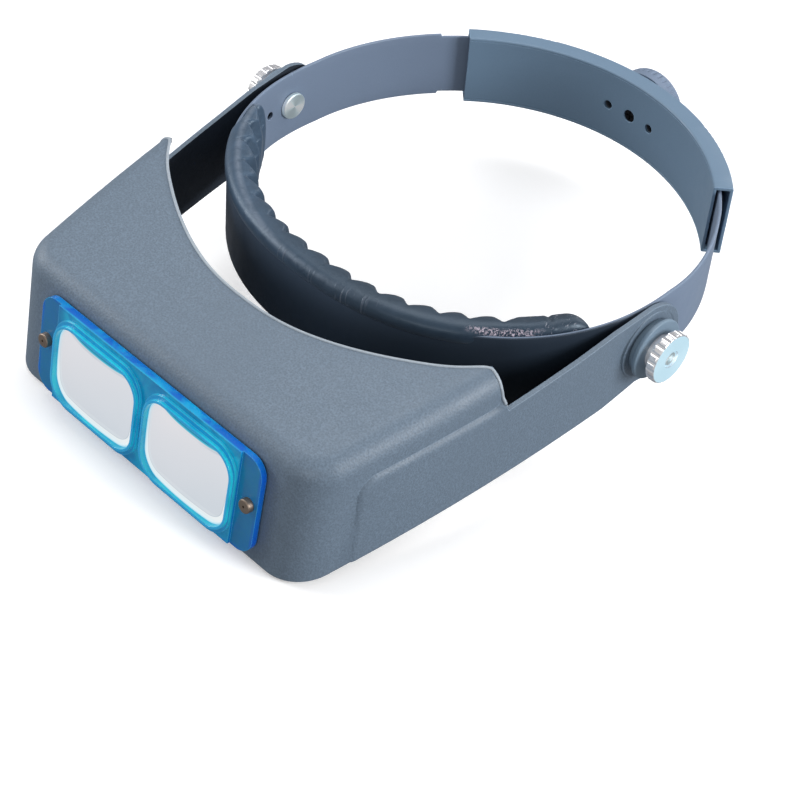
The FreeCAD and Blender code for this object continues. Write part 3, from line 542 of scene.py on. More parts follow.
def lens_acrylic():
    """Clear bulged lens whose view through is painted and glows: pale inside, a bright ground
    edge low down, tinted border.
    """
    window_x, window_drop = 0.0229, 0.0008       # each window's centre on the plate
    flat_x, flat_up, corner = 0.0123, 0.0070, 0.008    # half sizes to the corner arcs
    wall_up, wall_sag, wall_half = 0.0149, 0.0022, 0.0175    # frame's upper wall
    mat = Shader("lens_acrylic")
    plate_up = mat.dot(from_lens_centre(mat), LENS_UP)
    x = mat.xyz()["X"]
    across = mat.sub(x, mat.mul(mat.math("SIGN", x), window_x))
    up = mat.add(plate_up, window_drop)
    drift = mat.noise(34.0, detail=3.0)
    # rounded-rectangle distance to the window's edge
    past_x = mat.math("MAXIMUM", mat.sub(mat.abs(across), flat_x), 0.0)
    past_up = mat.math("MAXIMUM", mat.sub(mat.abs(up), flat_up), 0.0)
    edge = mat.sub(corner, mat.length(past_x, past_up))
    # painted view through the lens: a pale slanted gradient
    slant = mat.add(mat.mul(up, 22.0), mat.mul(across, -9.0))
    body = mat.mix(mat.remap(slant, over=(-0.30, 0.36)), srgb(0.845, 0.875, 0.905),
                   srgb(0.925, 0.92, 0.935))
    body = mat.mix(mat.remap(drift, over=(0.35, 0.65), to=(0.0, 0.5)), body,
                   srgb(0.89, 0.905, 0.93))
    # painted: the ground edge seen through the lens, wide at the bottom, thin elsewhere
    width = mat.remap(up, over=(-0.012, 0.004), to=(0.0030, 0.0009))
    painted_ground_glint = mat.math("LESS_THAN", edge, width)
    line = mat.mul(mat.near(edge, width, over=(0.00006, 0.00022)),
                   mat.remap(up, over=(-0.010, 0.006), to=(1.0, 0.2)))
    painted_ground_glint = mat.mul(painted_ground_glint, mat.remap(up, over=(-0.008, 0.012), to=(1.0, 0.45)))
    body = mat.mix(painted_ground_glint, body, srgb(0.965, 0.985, 0.99))
    body = mat.mix(mat.mul(line, 0.5), body, srgb(0.62, 0.70, 0.76))
    # painted tinted border, the frame seen through the lens
    body = mat.mix(mat.remap(edge, over=(0.00015, 0.0009), to=(0.75, 0.0)), body,
                   srgb(0.55, 0.86, 0.95))
    # painted: the frame's upper wall seen through the lens as a tinted crescent
    ratio = mat.mul(across, 1 / wall_half)
    fourth = mat.mul(mat.mul(ratio, ratio), mat.mul(ratio, ratio))
    sag = mat.mul(mat.sub(1.0, fourth), wall_sag)
    wobble = mat.mul(mat.sub(drift, 0.5), 0.0005)
    depth = mat.sub(mat.add(mat.add(up, sag), wobble), wall_up)
    crescent = mat.mix(mat.remap(depth, over=(0.0, 0.0020)), srgb(0.24, 0.76, 0.86),
                       srgb(0.08, 0.56, 0.74))
    dark_line = mat.near(depth, 0.0008, over=(0.00008, 0.00035))
    crescent = mat.mix(mat.mul(dark_line, 0.7), crescent, srgb(0.03, 0.40, 0.60))
    body = mat.mix(mat.remap(depth, over=(-0.0002, 0.0002)), body, crescent)
    shadow = mat.fall(mat.abs(mat.add(depth, 0.0005)), over=(0.0001, 0.0007))
    body = mat.lay(body, srgb(0.60, 0.69, 0.76), shadow,
                   mat.remap(drift, over=(0.42, 0.6), to=(0.1, 1.0)), amount=0.45)
    clear = mat.principled(Base_Color=body, Roughness=0.04, IOR=1.49,
                           Transmission_Weight=0.9, Coat_Weight=0.3)
    # painted light: most of the lens surface is an emission of this painted view
    glow = mat.node("Emission", {"Color": body, "Strength": 0.98}).outputs[0]
    return mat.surface(mat.node("MixShader", {0: 0.72, 1: clear, 2: glow}).outputs[0])


leather = leatherette()
# painted glows: these metals emit part of their own colour
zinc = metal("zinc_turned", srgb(0.86, 0.93, 0.95), rough=0.36, ring_scale=2200.0,
             ring_depth=0.35, glow=0.24)
nickel = metal("nickel_bright", srgb(0.93, 0.93, 0.95), rough=0.20, ring_scale=3000.0,
               ring_depth=0.12, face_tint=srgb(0.78, 0.93, 0.99), glow=0.44)
steel = metal("steel_plain", srgb(0.72, 0.74, 0.76), rough=0.3)
black_oxide = metal("screw_black_oxide", srgb(0.16, 0.16, 0.17), rough=0.38)
bronze = metal("stud_bronze", srgb(0.58, 0.52, 0.47), rough=0.5, glow=0.03)
blue = blue_acrylic()
clear_lens = lens_acrylic()

# -------------------------------------------------- finishes for CAD pieces
FINISHES = [
    (plastics["hood_pebble_plastic"], ["visor_shell"]),
    (plastics["housing_satin_plastic"], ["rear_housing", "rear_cover"]),
    (plastics["nylon_dark"], ["guide_rivets", "knob_bush", "friction_washers"]),
    (plastics["knob_satin_plastic"], ["size_knob"]),
    (plastics["acetal_black"], ["knob_pinion"]),
    (black_oxide, ["knob_screw"]),
    (steel, ["knob_spring_washer"]),
    (plastics["socket_rubber"], ["stud_sockets"]),
    (plastics["disc_satin_plastic"], ["clamp_disc_left", "clamp_disc_right"]),
    (zinc, ["pivot_bolt_left", "pivot_bolt_right"]),
    (nickel, ["thumb_nut_left", "thumb_nut_right"]),
    (blue, ["lens_frame"]),
    (clear_lens, ["left_lens", "right_lens"]),
    (bronze, ["lens_studs"]),
]


def dress(node, material):
    """Give a CAD node its finish; its own vertices stay as they are."""
    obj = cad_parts[node]
    obj.data.materials.clear()
    obj.data.materials.append(material)
    for face in obj.data.polygons:
        face.material_index = 0
    smooth_faces(obj.data)
    obj.modifiers.new("weld", "WELD").merge_threshold = 0.000002
    obj.modifiers.new("split", "EDGE_SPLIT").split_angle = SHARP_ANGLE


for material, nodes in FINISHES:
    for node in nodes:
        dress(node, material)

# Plan arc of the hood's side wall, outside, without the raised panel: (x, y).
WALL_ARC = [(74.2, -134.5), (83.3, -77.0), (88.6, -10.0)]


def circle_centre(p1, p2, p3):
    (x1, y1), (x2, y2), (x3, y3) = p1, p2, p3
    d = 2 * (x1 * (y2 - y3) + x2 * (y3 - y1) + x3 * (y1 - y2))
    sq1, sq2, sq3 = x1 * x1 + y1 * y1, x2 * x2 + y2 * y2, x3 * x3 + y3 * y3
    return ((sq1 * (y2 - y3) + sq2 * (y3 - y1) + sq3 * (y1 - y2)) / d,
            (sq1 * (x3 - x2) + sq2 * (x1 - x3) + sq3 * (x2 - x1)) / d)


def wall_x(y):
    centre_x, centre_y = circle_centre(*WALL_ARC)
    x1, y1 = WALL_ARC[0]
    return centre_x + math.sqrt((x1 - centre_x) ** 2 + (y1 - centre_y) ** 2
                                - (y - centre_y) ** 2)


def is_hood_inside(centre, normal):
    """True for a face, placed in metres, that takes the dark inside colour, which is painted
    shade in the panel pocket.
    """
    # painted shade in the recess behind the raised panel
    if in_panel_pocket(centre, normal):
        return True
    # the cut edge of the deck and the arms' rims keep the outside colour
    deck_edge = (normal.y > 0.3 and abs(normal.z) < 0.35 and centre.z > 0.004
                 and abs(centre.x) < 0.0776 and -0.113 < centre.y < -0.0770)
    arm_rim = centre.y > -0.075 and abs(normal.x) < 0.5
    cavity = Vector((0.0, -85.0, -12.0)) * MM
    return normal.dot(centre - cavity) < 0.0 and not deck_edge and not arm_rim


def in_panel_pocket(centre, normal):
    """The pocket behind the raised side panel, but not the sloping lower rim; its dark colour is
    painted shade.
    """
    outward = normal.x if centre.x > 0 else -normal.x
    y, z = centre.y / MM, centre.z / MM
    return (outward < 0.25 and -137.0 < y < -52.0 and z < 9.0
            and 0.3 < wall_x(y) - abs(centre.x) / MM < 2.6
            and z > -36.6 + (y + 156.0) * 0.1384 + 0.5)


def paint_hood_inside():
    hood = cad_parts["visor_shell"]
    hood.data.materials.append(plastics["hood_dark_inside_and_pocket_shade"])
    world = hood.matrix_world
    for face in hood.data.polygons:
        normal = (world.to_3x3() @ face.normal).normalized()
        if is_hood_inside(world @ face.center, normal):
            face.material_index = 1


paint_hood_inside()

# ----------------------------------------------------------------- hood lip
# Right half of the forehead cut-out in plan: (x, y).
DECK_CUT = [(0.0, -111.2), (18.8, -109.6), (32.8, -105.6), (47.0, -99.4),
            (61.0, -91.4), (70.6, -84.3), (77.2, -77.4)]
LIP_SIDES = 10
LIP_HALF_W, LIP_HALF_T, LIP_LIFT = 0.52, 0.40, 0.06
LIP_SET_BACK = 0.28                   # from the cut, onto the deck


def deck_edge_hits(tree):
    """(point, normal) on the deck along the right half of the cut-out."""
    cut_y = mirrored_spline(DECK_CUT)
    hits = []
    for i in range(71):
        x = 76.6 * i / 70.0
        slope = (cut_y(x + 0.2) - cut_y(x - 0.2)) / 0.4
        length = math.hypot(slope, 1.0)
        above = Vector((x + LIP_SET_BACK * slope / length,
                        cut_y(x) - LIP_SET_BACK / length, 40.0))
        hit = tree.ray_cast(above * MM, Vector((0, 0, -1)))
        if hit[0] is not None:
            hits.append((hit[0] / MM, hit[1]))
    return hits


def horn_hits(tree):
    """(point, normal) round the outside of the right horn, downwards."""
    hits = []
    for i in range(27):
        angle = math.radians(60 - 62.0 * i / 26.0)
        cos, sin = math.cos(angle), math.sin(angle)
        z_guess = 7.5 + 9.5 * sin
        y = -77.85 if z_guess > 12 else -77.85 + (12 - z_guess) * 0.24
        start = Vector((71.5 + 30 * cos, y, 7.5 + 30 * sin))
        hit = tree.ray_cast(start * MM, Vector((-cos, 0, -sin)))
        if hit[0] is not None and hit[0].x / MM > 77.0:
            hits.append((hit[0] / MM, hit[1]))
    return hits


def ring_faces(rings, sides):
    """Quads of a tube whose rings of vertices follow one another."""
    return [(i * sides + k, i * sides + (k + 1) % sides,
             (i + 1) * sides + (k + 1) % sides, (i + 1) * sides + k)
            for i in range(rings - 1) for k in range(sides)]


def end_faces(rings, sides):
    return [tuple(range(sides))[::-1], tuple((rings - 1) * sides + k for k in range(sides))]


def hood_lip():
    """Thin rolled lip round the forehead cut-out and down both horns, pale as a painted
    highlight.
    """
    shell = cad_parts["visor_shell"]
    world = shell.matrix_world
    tree = BVHTree.FromPolygons([world @ v.co for v in shell.data.vertices],
                                [tuple(p.vertices) for p in shell.data.polygons])
    half = deck_edge_hits(tree) + horn_hits(tree)
    path = [(Vector((-p.x, p.y, p.z)), Vector((-n.x, n.y, n.z)))
            for p, n in reversed(half[1:])] + half
    points = np.array([p[:] for p, n in path])
    normals = np.array([n[:] for p, n in path])
    for _ in range(2):
        for line in (points, normals):
            line[1:-1] = (line[:-2] + 2 * line[1:-1] + line[2:]) / 4
    verts = []
    for point, normal, tangent in zip(points, normals, np.gradient(points, axis=0)):
        tangent, normal = Vector(tangent).normalized(), Vector(normal)
        normal = (normal - tangent * normal.dot(tangent)).normalized()
        side = tangent.cross(normal)
        for k in range(LIP_SIDES):
            angle = 2 * math.pi * k / LIP_SIDES
            verts.append(Vector(point) + side * (LIP_HALF_W * math.cos(angle))
                         + normal * (LIP_HALF_T * math.sin(angle) + LIP_LIFT))
    faces = ring_faces(len(points), LIP_SIDES) + end_faces(len(points), LIP_SIDES)
    lip = new_obj("hood_lip", verts, faces)
    lip.data.materials.append(plastics["hood_lip_painted_highlight"])
    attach(lip, "visor")


hood_lip()

# ---------------------------------------------------- front band and straps
SPLIT = math.degrees(math.atan2(TEMPLE_R, -PIVOT_Y))     # joint behind the bolt heads
SECTION_R, SECTION_STEPS = 0.42, 4    # rounded corners of the strips
FLAT_ROWS = 8                         # divisions up a strip's flat faces
HOLE_R, HOLE_Y, HOLE_Z = 1.6, -25.0, 0.8
BROW_DROP = 3.8                       # extra depth of the lower half at the brow
STRAP_FULL_FROM, STRAP_FULL_AT = 92, 125    # degrees over which band becomes strap
STRAP_STEP = 125.4                    # degrees where the height steps down
STRAP_TIP, TIP_R = 201.0, 5.0         # strap end in degrees, its corner radius
RACK_PITCH = math.pi * 1.25           # pi times the gear module
RACK_HALF, RACK_END_GAP = 21.0, 1.2
RACK_ROOT, RACK_TIP, RACK_PLAIN = 6.55, 4.0, 6.9    # heights from the middle
TOOTH_ROOT_HALF, TOOTH_TIP_HALF = 0.98, 0.36


def section(thick, half_h):
    """Closed rounded section of a strip: (outwards, z)."""
    r = SECTION_R
    corners = []
    for cx, cz, start in ((thick / 2 - r, half_h - r, 0), (-thick / 2 + r, half_h - r, 90),
                          (-thick / 2 + r, -half_h + r, 180), (thick / 2 - r, -half_h + r, 270)):
        for i in range(SECTION_STEPS + 1):
            angle = math.radians(start + 90.0 * i / SECTION_STEPS)
            corners.append((cx + r * math.cos(angle), cz + r * math.sin(angle)))
    outline = []
    for p, q in zip(corners, corners[1:] + corners[:1]):
        outline.append(p)
        if abs(q[1] - p[1]) > 5:
            for k in range(1, FLAT_ROWS):
                outline.append((p[0] + (q[0] - p[0]) * k / float(FLAT_ROWS),
                                p[1] + (q[1] - p[1]) * k / float(FLAT_ROWS)))
    return outline


def strip(name, mid, thick, half_h, angles):
    """Curved strip; mid radius, thickness and half height are functions of angle."""
    verts = []
    for angle in angles:
        outline = section(thick(angle), half_h(angle))
        for out, z in outline:
            verts.append((*polar(mid(angle) + out, angle), z))
    sides = len(outline)
    faces = [(a, b, c, d) for a, b, c, d in ring_faces(len(angles), sides)]
    return new_obj(name, verts, faces + end_faces(len(angles), sides))


def cutter(low, high):
    """Prism between two matching outlines, for cutting."""
    n = len(low)
    faces = [tuple(range(n)), tuple(range(2 * n - 1, n - 1, -1))]
    faces += [(i, (i + 1) % n, (i + 1) % n + n, i + n) for i in range(n)]
    return new_obj("cut", low + high, faces, smooth=False)


def cut(obj, *cutters):
    for tool in cutters:
        boolean = obj.modifiers.new("cut", "BOOLEAN")
        boolean.operation = "DIFFERENCE"
        boolean.solver = "EXACT"
        boolean.object = tool
    apply_mods(obj)
    for tool in cutters:
        bpy.data.objects.remove(tool)


def sharp_by_angle(obj):
    """Smooth shading that stays crisp over real edges, kept in the mesh."""
    bm = bmesh.new()
    bm.from_mesh(obj.data)
    for edge in bm.edges:
        if len(edge.link_faces) == 2:
            edge.smooth = edge.calc_face_angle(0.0) < SHARP_ANGLE
    for face in bm.faces:
        face.smooth = True
    bm.to_mesh(obj.data)
    bm.free()


def temple_hole(x_low, x_high):
    circle = [2 * math.pi * i / 40 for i in range(40)]
    rings = [[(x, HOLE_Y + HOLE_R * math.cos(a), HOLE_Z + HOLE_R * math.sin(a))
              for a in circle] for x in (x_low, x_high)]
    return cutter(*rings)


def front_band():
    band = strip("front_band_skin", lambda a: band_out(a) - BAND_T / 2, lambda a: BAND_T,
                 lambda a: HALF_BAND, [-SPLIT + 2 * SPLIT * i / 150.0 for i in range(151)])
    for vert in band.data.vertices:
        if vert.co.z < 0:
            t = min(1.0, max(0.0, (-20.0 - vert.co.y / MM) / 60.0))
            drop = BROW_DROP * (3 * t * t - 2 * t ** 3)
            vert.co.z *= (HALF_BAND + drop) / HALF_BAND
    cut(band, temple_hole(-100, -70), temple_hole(70, 100))
    sharp_by_angle(band)
    band.data.materials.append(plastics["front_band_plastic"])
    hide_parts("front_band")
    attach(band, "headband")


def rack_slot(top, phase):
    """Cutter for the slot at the back, toothed along its top or bottom edge."""
    outline = [(-RACK_HALF, RACK_ROOT)]
    n = int(RACK_HALF // RACK_PITCH) + 1
    for k in range(-n, n + 1):
        x = phase + (k + 0.5) * RACK_PITCH
        if abs(x) > RACK_HALF - RACK_END_GAP:
            continue
        outline += [(x - TOOTH_ROOT_HALF, RACK_ROOT), (x - TOOTH_TIP_HALF, RACK_TIP),
                    (x + TOOTH_TIP_HALF, RACK_TIP), (x + TOOTH_ROOT_HALF, RACK_ROOT)]
    outline += [(RACK_HALF, RACK_ROOT), (RACK_HALF, -RACK_PLAIN), (-RACK_HALF, -RACK_PLAIN)]
    flip = 1 if top else -1
    return cutter(*[[(x, y, flip * z) for x, z in outline] for y in (70, 95)])


def strap(name, radius, sign, top, phase):
    """One rear strap, from the temple joint round past the middle of the back."""
    span = STRAP_FULL_AT - STRAP_FULL_FROM

    def mid(angle):
        angle = abs(angle)
        if angle <= 90:
            return band_out(angle) - BAND_T / 2
        if angle >= STRAP_FULL_AT:
            return radius
        t = max(0.0, (angle - STRAP_FULL_FROM) / span)
        return TEMPLE_R + (radius - TEMPLE_R) * (3 * t * t - 2 * t ** 3)

    def thick(angle):
        t = min(1.0, max(0.0, (abs(angle) - STRAP_FULL_FROM) / span))
        return BAND_T + (STRAP_T - BAND_T) * t

    def half_h(angle):
        angle = abs(angle)
        to_tip = (STRAP_TIP - angle) / 180.0 * math.pi * radius
        if to_tip < TIP_R:
            arc = math.sqrt(max(0.0, TIP_R ** 2 - (TIP_R - to_tip) ** 2))
            return STRAP_H / 2.0 - TIP_R + arc
        return HALF_BAND if angle < STRAP_STEP else STRAP_H / 2.0

    angles = [SPLIT + (125.2 - SPLIT) * i / 44.0 for i in range(45)]
    angles += [125.5, 125.75]
    angles += [126.2 + (STRAP_TIP - 126.2) * i / 62.0 for i in range(63)]
    obj = strip(name + "_skin", mid, thick, half_h, [sign * a for a in angles])
    cut(obj, rack_slot(top, phase))
    sharp_by_angle(obj)
    obj.data.materials.append(plastics["band_satin_plastic"])
    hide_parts(name)
    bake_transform(obj)


front_band()
strap("left_strap", LEFT_R, sign=-1, top=True, phase=0.19)
strap("right_strap", RIGHT_R, sign=+1, top=False, phase=-0.19)

# --------------------------------------------------------------- sweatband
# A leatherette sleeve over foam: it hooks over the band's top edge, is gathered
# in pleats along its inner top edge and tapers into rounded, tucked ends.
PITCH = 11.3                          # between pleats
PAD_START, PAD_END = -67.2, 67.8      # degrees from the brow
PAD_SIDES = 84                        # points round the section
LEFT_TAPER, RIGHT_TAPER = 8.5, 8.0    # lengths of the rounded ends
PLEAT_IN, PLEAT_DOWN = 1.95, 2.10     # how far a valley sinks
HUMP_IN, HUMP_UP = 0.45, 0.40         # how far the humps between stand proud
TUCK_AT, TUCK_HALF = 14.0, 0.9        # tuck line before the right end

# Closed sections: (depth inwards from the band's inner face, z). A place on either
# is a knot number: the outer flap first, then over the top, down the inner face
# and back up against the band.
HOOKED = [
    (-1.40, 9.8), (-1.68, 10.8), (-1.80, 12.5), (-1.20, 14.5), (0.6, 15.75), (3.0, 16.15),
    (5.4, 15.9), (7.4, 14.6), (8.6, 12.2), (9.15, 8.6), (9.35, 4.2), (9.3, -0.8),
    (8.9, -5.4), (7.9, -9.2), (6.1, -11.6), (3.7, -12.3), (1.5, -11.7), (0.35, -9.8),
    (0.14, -4.0), (0.12, 3.0), (0.12, 9.0), (0.10, 13.2), (-0.25, 13.70), (-0.95, 13.70),
    (-1.28, 13.3), (-1.27, 11.6), (-1.26, 9.9)]
INSIDE = [
    (0.16, 10.6), (0.16, 11.6), (0.20, 12.7), (0.55, 14.1), (1.5, 15.2), (3.2, 15.9),
    (5.4, 15.7), (7.4, 14.5), (8.6, 12.1), (9.15, 8.6), (9.35, 4.2), (9.3, -0.8),
    (8.9, -5.4), (7.9, -9.2), (6.1, -11.6), (3.7, -12.3), (1.5, -11.7), (0.35, -9.8),
    (0.14, -6.0), (0.12, -1.0), (0.12, 3.0), (0.12, 6.0), (0.12, 7.4), (0.12, 8.4),
    (0.12, 9.2), (0.12, 9.7), (0.14, 10.2)]
# How far the section follows a pleat: (knot number, weight).
PLEAT_FOLLOW = [(0, 0), (4.6, 0), (5.4, 0.06), (6.2, 0.30), (6.8, 0.80), (7.4, 1.0),
                (8.2, 1.0), (9.2, 0.72), (10.2, 0.36), (11.5, 0.10), (13.0, 0.0), (27.0, 0.0)]
# How wide the pleat's V is: (knot number, part of the pitch).
PLEAT_WIDTH = [(0, 0.05), (4.6, 0.05), (5.4, 0.08), (6.2, 0.20), (7.0, 0.40),
               (8.0, 0.48), (9.5, 0.34), (11.5, 0.2), (27.0, 0.1)]


def catmull_rom(loop, i, t):
    n = len(loop)
    return [0.5 * (2 * b + (c - a) * t + (2 * a - 5 * b + 4 * c - d) * t * t
                   + (3 * b - a - 3 * c + d) * t ** 3)
            for a, b, c, d in zip(loop[i - 1], loop[i], loop[(i + 1) % n], loop[(i + 2) % n])]


def on_loop(loop, knot):
    return catmull_rom(loop, int(knot) % len(loop), knot - int(knot))


def even_knots():
    """Knot numbers of evenly spaced points round the hooked section."""
    n = len(HOOKED)
    dense = [(*catmull_rom(HOOKED, i, k / 12.0), i + k / 12.0)
             for i in range(n) for k in range(12)]
    travel = [0.0]
    for p, q in zip(dense, dense[1:] + dense[:1]):
        travel.append(travel[-1] + math.hypot(q[0] - p[0], q[1] - p[1]))
    knots = []
    for i in range(PAD_SIDES):
        s = travel[-1] * i / PAD_SIDES
        j = int(np.searchsorted(travel, s, side="right") - 1)
        part = (s - travel[j]) / max(1e-9, travel[j + 1] - travel[j])
        start, end = dense[j][2], dense[(j + 1) % len(dense)][2]
        if end < start:
            end += n
        knots.append((start + (end - start) * part) % n)
    return knots


def table(rows, x):
    for (x0, y0), (x1, y1) in zip(rows, rows[1:]):
        if x <= x1:
            return y0 + (y1 - y0) * (x - x0) / (x1 - x0)
    return rows[-1][1]


def arc_lengths():
    """Angles along the pad and the lengths to them on the band's inner face."""
    angles, lengths = [PAD_START], [0.0]
    while angles[-1] < PAD_END - 1e-6:
        start = angles[-1]
        end = min(PAD_END, start + 0.25)
        radius = band_out((start + end) / 2) - BAND_T
        lengths.append(lengths[-1] + radius * math.radians(end - start))
        angles.append(end)
    return angles, lengths


def pleat_valleys(total):
    """Slightly uneven valleys: (place along the pad, depth, lean)."""
    rnd = random.Random(11)
    valleys = []
    s = 6.5
    while s < total - 21.0:
        valleys.append((s + rnd.uniform(-0.7, 0.7), rnd.uniform(0.85, 1.15),
                        rnd.uniform(-0.25, 0.25)))
        s += PITCH
    return valleys


def pad_row(along, total, angle):
    """What holds for one whole section of the pad."""
    def taper(part):
        return math.sqrt(max(0.0, 1 - (1 - min(1.0, part)) ** 2))
    return SimpleNamespace(
        along=along, to_end=total - along, in_left_half=along < total / 2,
        # 1 where the flap wraps the band, 0 where the pad stays inside it
        flap=smoothstep((angle + 60.0) / 7.0) * smoothstep((49.0 - angle) / 11.0),
        thin=(1.0 - 0.30 * smoothstep((-50.0 - angle) / 15.0)
              - 0.10 * smoothstep((angle - 57.0) / 8.0)),
        end=max(0.05, min(taper(along / LEFT_TAPER), taper((total - along) / RIGHT_TAPER))),
        left_fold=smoothstep((-38.0 - angle) / 12.0))


def valley_depth(row, knot, valleys):
    """Depth of the deepest valley here; steep on one side, slower on the other."""
    width = table(PLEAT_WIDTH, knot) * (1.0 + 0.35 * row.left_fold) * PITCH
    deepest = 0.0
    for place, depth, lean in valleys:
        x = (row.along - place) + lean * (7.0 - knot) * 1.2
        x = x / (width * (0.62 if x < 0 else 1.25))
        if abs(x) < 1:
            deepest = max(deepest, depth * (1 - abs(x)) ** 1.15)
    return deepest


def pin_weight(knot, valley, end):
    """Cloth pinning: full against the band, part in valleys, gathers and ends."""
    pin = 1.0 if (knot < 3.6 or knot > 16.6) else (0.75 if knot < 5.6 else 0.0)
    if 4.5 < knot < 10.5:
        pin = max(pin, min(1.0, 1.15 * valley))
    if 14.2 < knot <= 16.6:
        pin = max(pin, 0.6)
    if end < 0.7:
        pin = max(pin, 0.9)
    return min(1.0, pin)


def pad_point(row, knot, valleys):
    """Depth inside the band, height and pin weight of one point."""
    hooked, inside = on_loop(HOOKED, knot), on_loop(INSIDE, knot)
    depth, z = [b + (a - b) * row.flap for a, b in zip(hooked, inside)]
    follow = table(PLEAT_FOLLOW, knot)
    if 3.9 < knot < 7.1:
        follow += 0.40 * row.left_fold * (1 - abs(knot - 5.5) / 1.6)
    valley = 0.0
    if follow > 0:
        valley = valley_depth(row, knot, valleys)
        fold = 1.0 + 0.25 * row.left_fold
        depth -= PLEAT_IN * follow * valley * fold
        z -= PLEAT_DOWN * follow * valley * fold * (1.0 if knot < 9 else 0.35)
        hump = 1 - valley
        depth += HUMP_IN * follow * hump
        z += HUMP_UP * follow * hump * (1.0 if knot < 8.4 else 0.0)
    # tuck line across the top and the inner face
    x = (row.to_end - TUCK_AT) / TUCK_HALF
    if 3.0 < knot < 15.0 and abs(x) < 1:
        depth -= 0.55 * (1 - x * x)
        z -= 0.45 * (1 - x * x) * (1 if knot < 8 else 0)
    # gathered lower edge with shallow puckers
    if 12.0 < knot < 16.0:
        wave = math.cos(2 * math.pi * row.along / (PITCH * 0.62) + 0.8)
        x = wave * math.sin((knot - 12.0) / 4.0 * math.pi)
        depth -= 0.28 * x
        z += 0.22 * x
    if depth > 0.14:
        depth = 0.14 + (depth - 0.14) * row.thin
    # rounded ends shrink towards the band and its middle height
    if row.end < 1.0:
        middle, least, rest = (1.5, 0.40, 0.60) if row.in_left_half else (2.5, 0.52, 0.48)
        depth = 0.14 + (depth - 0.14) * row.end
        z = middle + (z - middle) * (least + rest * row.end)
    return depth, z, pin_weight(knot, valley if follow > 0.1 else 0.0, row.end)


def build_pad():
    angles, lengths = arc_lengths()
    total = lengths[-1]
    valleys = pleat_valleys(total)
    knots = even_knots()
    steps = int(total / 0.86)
    verts, pins = [], []
    for i in range(steps + 1):
        along = total * i / steps
        angle = float(np.interp(along, lengths, angles))
        inner_r = band_out(angle) - BAND_T
        row = pad_row(along, total, angle)
        for knot in knots:
            depth, z, pin = pad_point(row, knot, valleys)
            verts.append((*polar(inner_r - depth, angle), z))
            pins.append(pin)
    faces = ring_faces(steps + 1, PAD_SIDES)
    # each end is a fan to a centre point
    for i in (0, steps):
        first = i * PAD_SIDES
        ring = verts[first:first + PAD_SIDES]
        verts.append(tuple(sum(v[j] for v in ring) / PAD_SIDES for j in range(3)))
        pins.append(1.0)
        centre = len(verts) - 1
        for k in range(PAD_SIDES):
            a, b = first + k, first + (k + 1) % PAD_SIDES
            faces.append((centre, b, a) if i == 0 else (centre, a, b))
    obj = new_obj("sweatband_pad", verts, faces)
    group = obj.vertex_groups.new(name="pin")
    for i, pin in enumerate(pins):
        if pin > 0:
            group.add([i], pin, "REPLACE")
    return obj


CLOTH = dict(
    quality=4, mass=0.25, air_damping=1.5, tension_stiffness=12.0,
    compression_stiffness=12.0, shear_stiffness=4.0, bending_stiffness=0.05,
    vertex_group_mass="pin", pin_stiffness=1.2, use_pressure=True,
    uniform_pressure_force=3.5, shrink_min=-0.010, shrink_max=-0.010)
CLOTH_FRAMES = 16
CLOTH_REACH = 1.0                     # farthest a vertex may move


def settle(obj):
    """Blow the sleeve up against its pleats and let it wrinkle."""
    before = np.array([v.co[:] for v in obj.data.vertices])
    cloth = obj.modifiers.new("cloth", "CLOTH")
    for key, value in CLOTH.items():
        setattr(cloth.settings, key, value)
    cloth.settings.effector_weights.gravity = 0.0
    cloth.collision_settings.use_collision = False
    cloth.collision_settings.use_self_collision = False
    cloth.point_cache.frame_start = 1
    cloth.point_cache.frame_end = CLOTH_FRAMES
    for i in range(1, CLOTH_FRAMES + 1):
        scene.frame_set(i)
    evaluated = obj.evaluated_get(bpy.context.evaluated_depsgraph_get())
    mesh = bpy.data.meshes.new_from_object(evaluated)
    after = np.array([v.co[:] for v in mesh.vertices])
    obj.modifiers.clear()
    bpy.data.meshes.remove(mesh)
    move = after - before
    move[~np.isfinite(move).all(axis=1)] = 0.0
    distance = np.linalg.norm(move, axis=1)
    scale = np.ones(len(distance))
    far = distance > CLOTH_REACH * MM
    scale[far] = CLOTH_REACH * MM / distance[far]
    # fully pinned vertices stay put
    pin = obj.vertex_groups["pin"].index
    for vert in obj.data.vertices:
        if any(g.group == pin and g.weight > 0.99 for g in vert.groups):
            scale[vert.index] = 0.0
    settled = before + move * scale[:, None]
    obj.data.vertices.foreach_set("co", settled.astype(np.float32).ravel())
    obj.data.update()
    scene.frame_set(1)


def sweatband():
    pad = build_pad()
    settle(pad)
    subdivision = pad.modifiers.new("sub", "SUBSURF")
    subdivision.levels = subdivision.render_levels = 1
    apply_mods(pad)
    smooth_faces(pad.data)
    pad.data.materials.append(leather)
    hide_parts("sweatband_cover", "sweatband_foam")
    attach(pad, "headband")


sweatband()


# ------------------------------------------------------------ floor, lights
def floor(half=6000.0, z=-37.5):
    """Paper floor, bright to the camera but throwing less light back up."""
    mat = Shader("floor_paper")
    drift = mat.noise(6.0, detail=3.0)
    seen_colour = mat.ramp(drift, [(0.3, (0.90, 0.90, 0.905, 1)), (0.7, (0.93, 0.93, 0.935, 1))])
    seen = mat.node("LightPath").outputs["Is Camera Ray"]
    paper = mat.surface(mat.principled(
        Base_Color=mat.mix(seen, (0.22, 0.225, 0.235, 1), seen_colour), Roughness=0.9,
        Specular_IOR_Level=0.1, Emission_Color=(1.0, 1.0, 1.0, 1),
        Emission_Strength=mat.mul(seen, 0.22)))
    corners = [(-half, -half, z), (half, -half, z), (half, half, z), (-half, half, z)]
    obj = new_obj("floor", corners, [(0, 1, 2, 3)], smooth=False)
    obj.data.materials.append(paper)


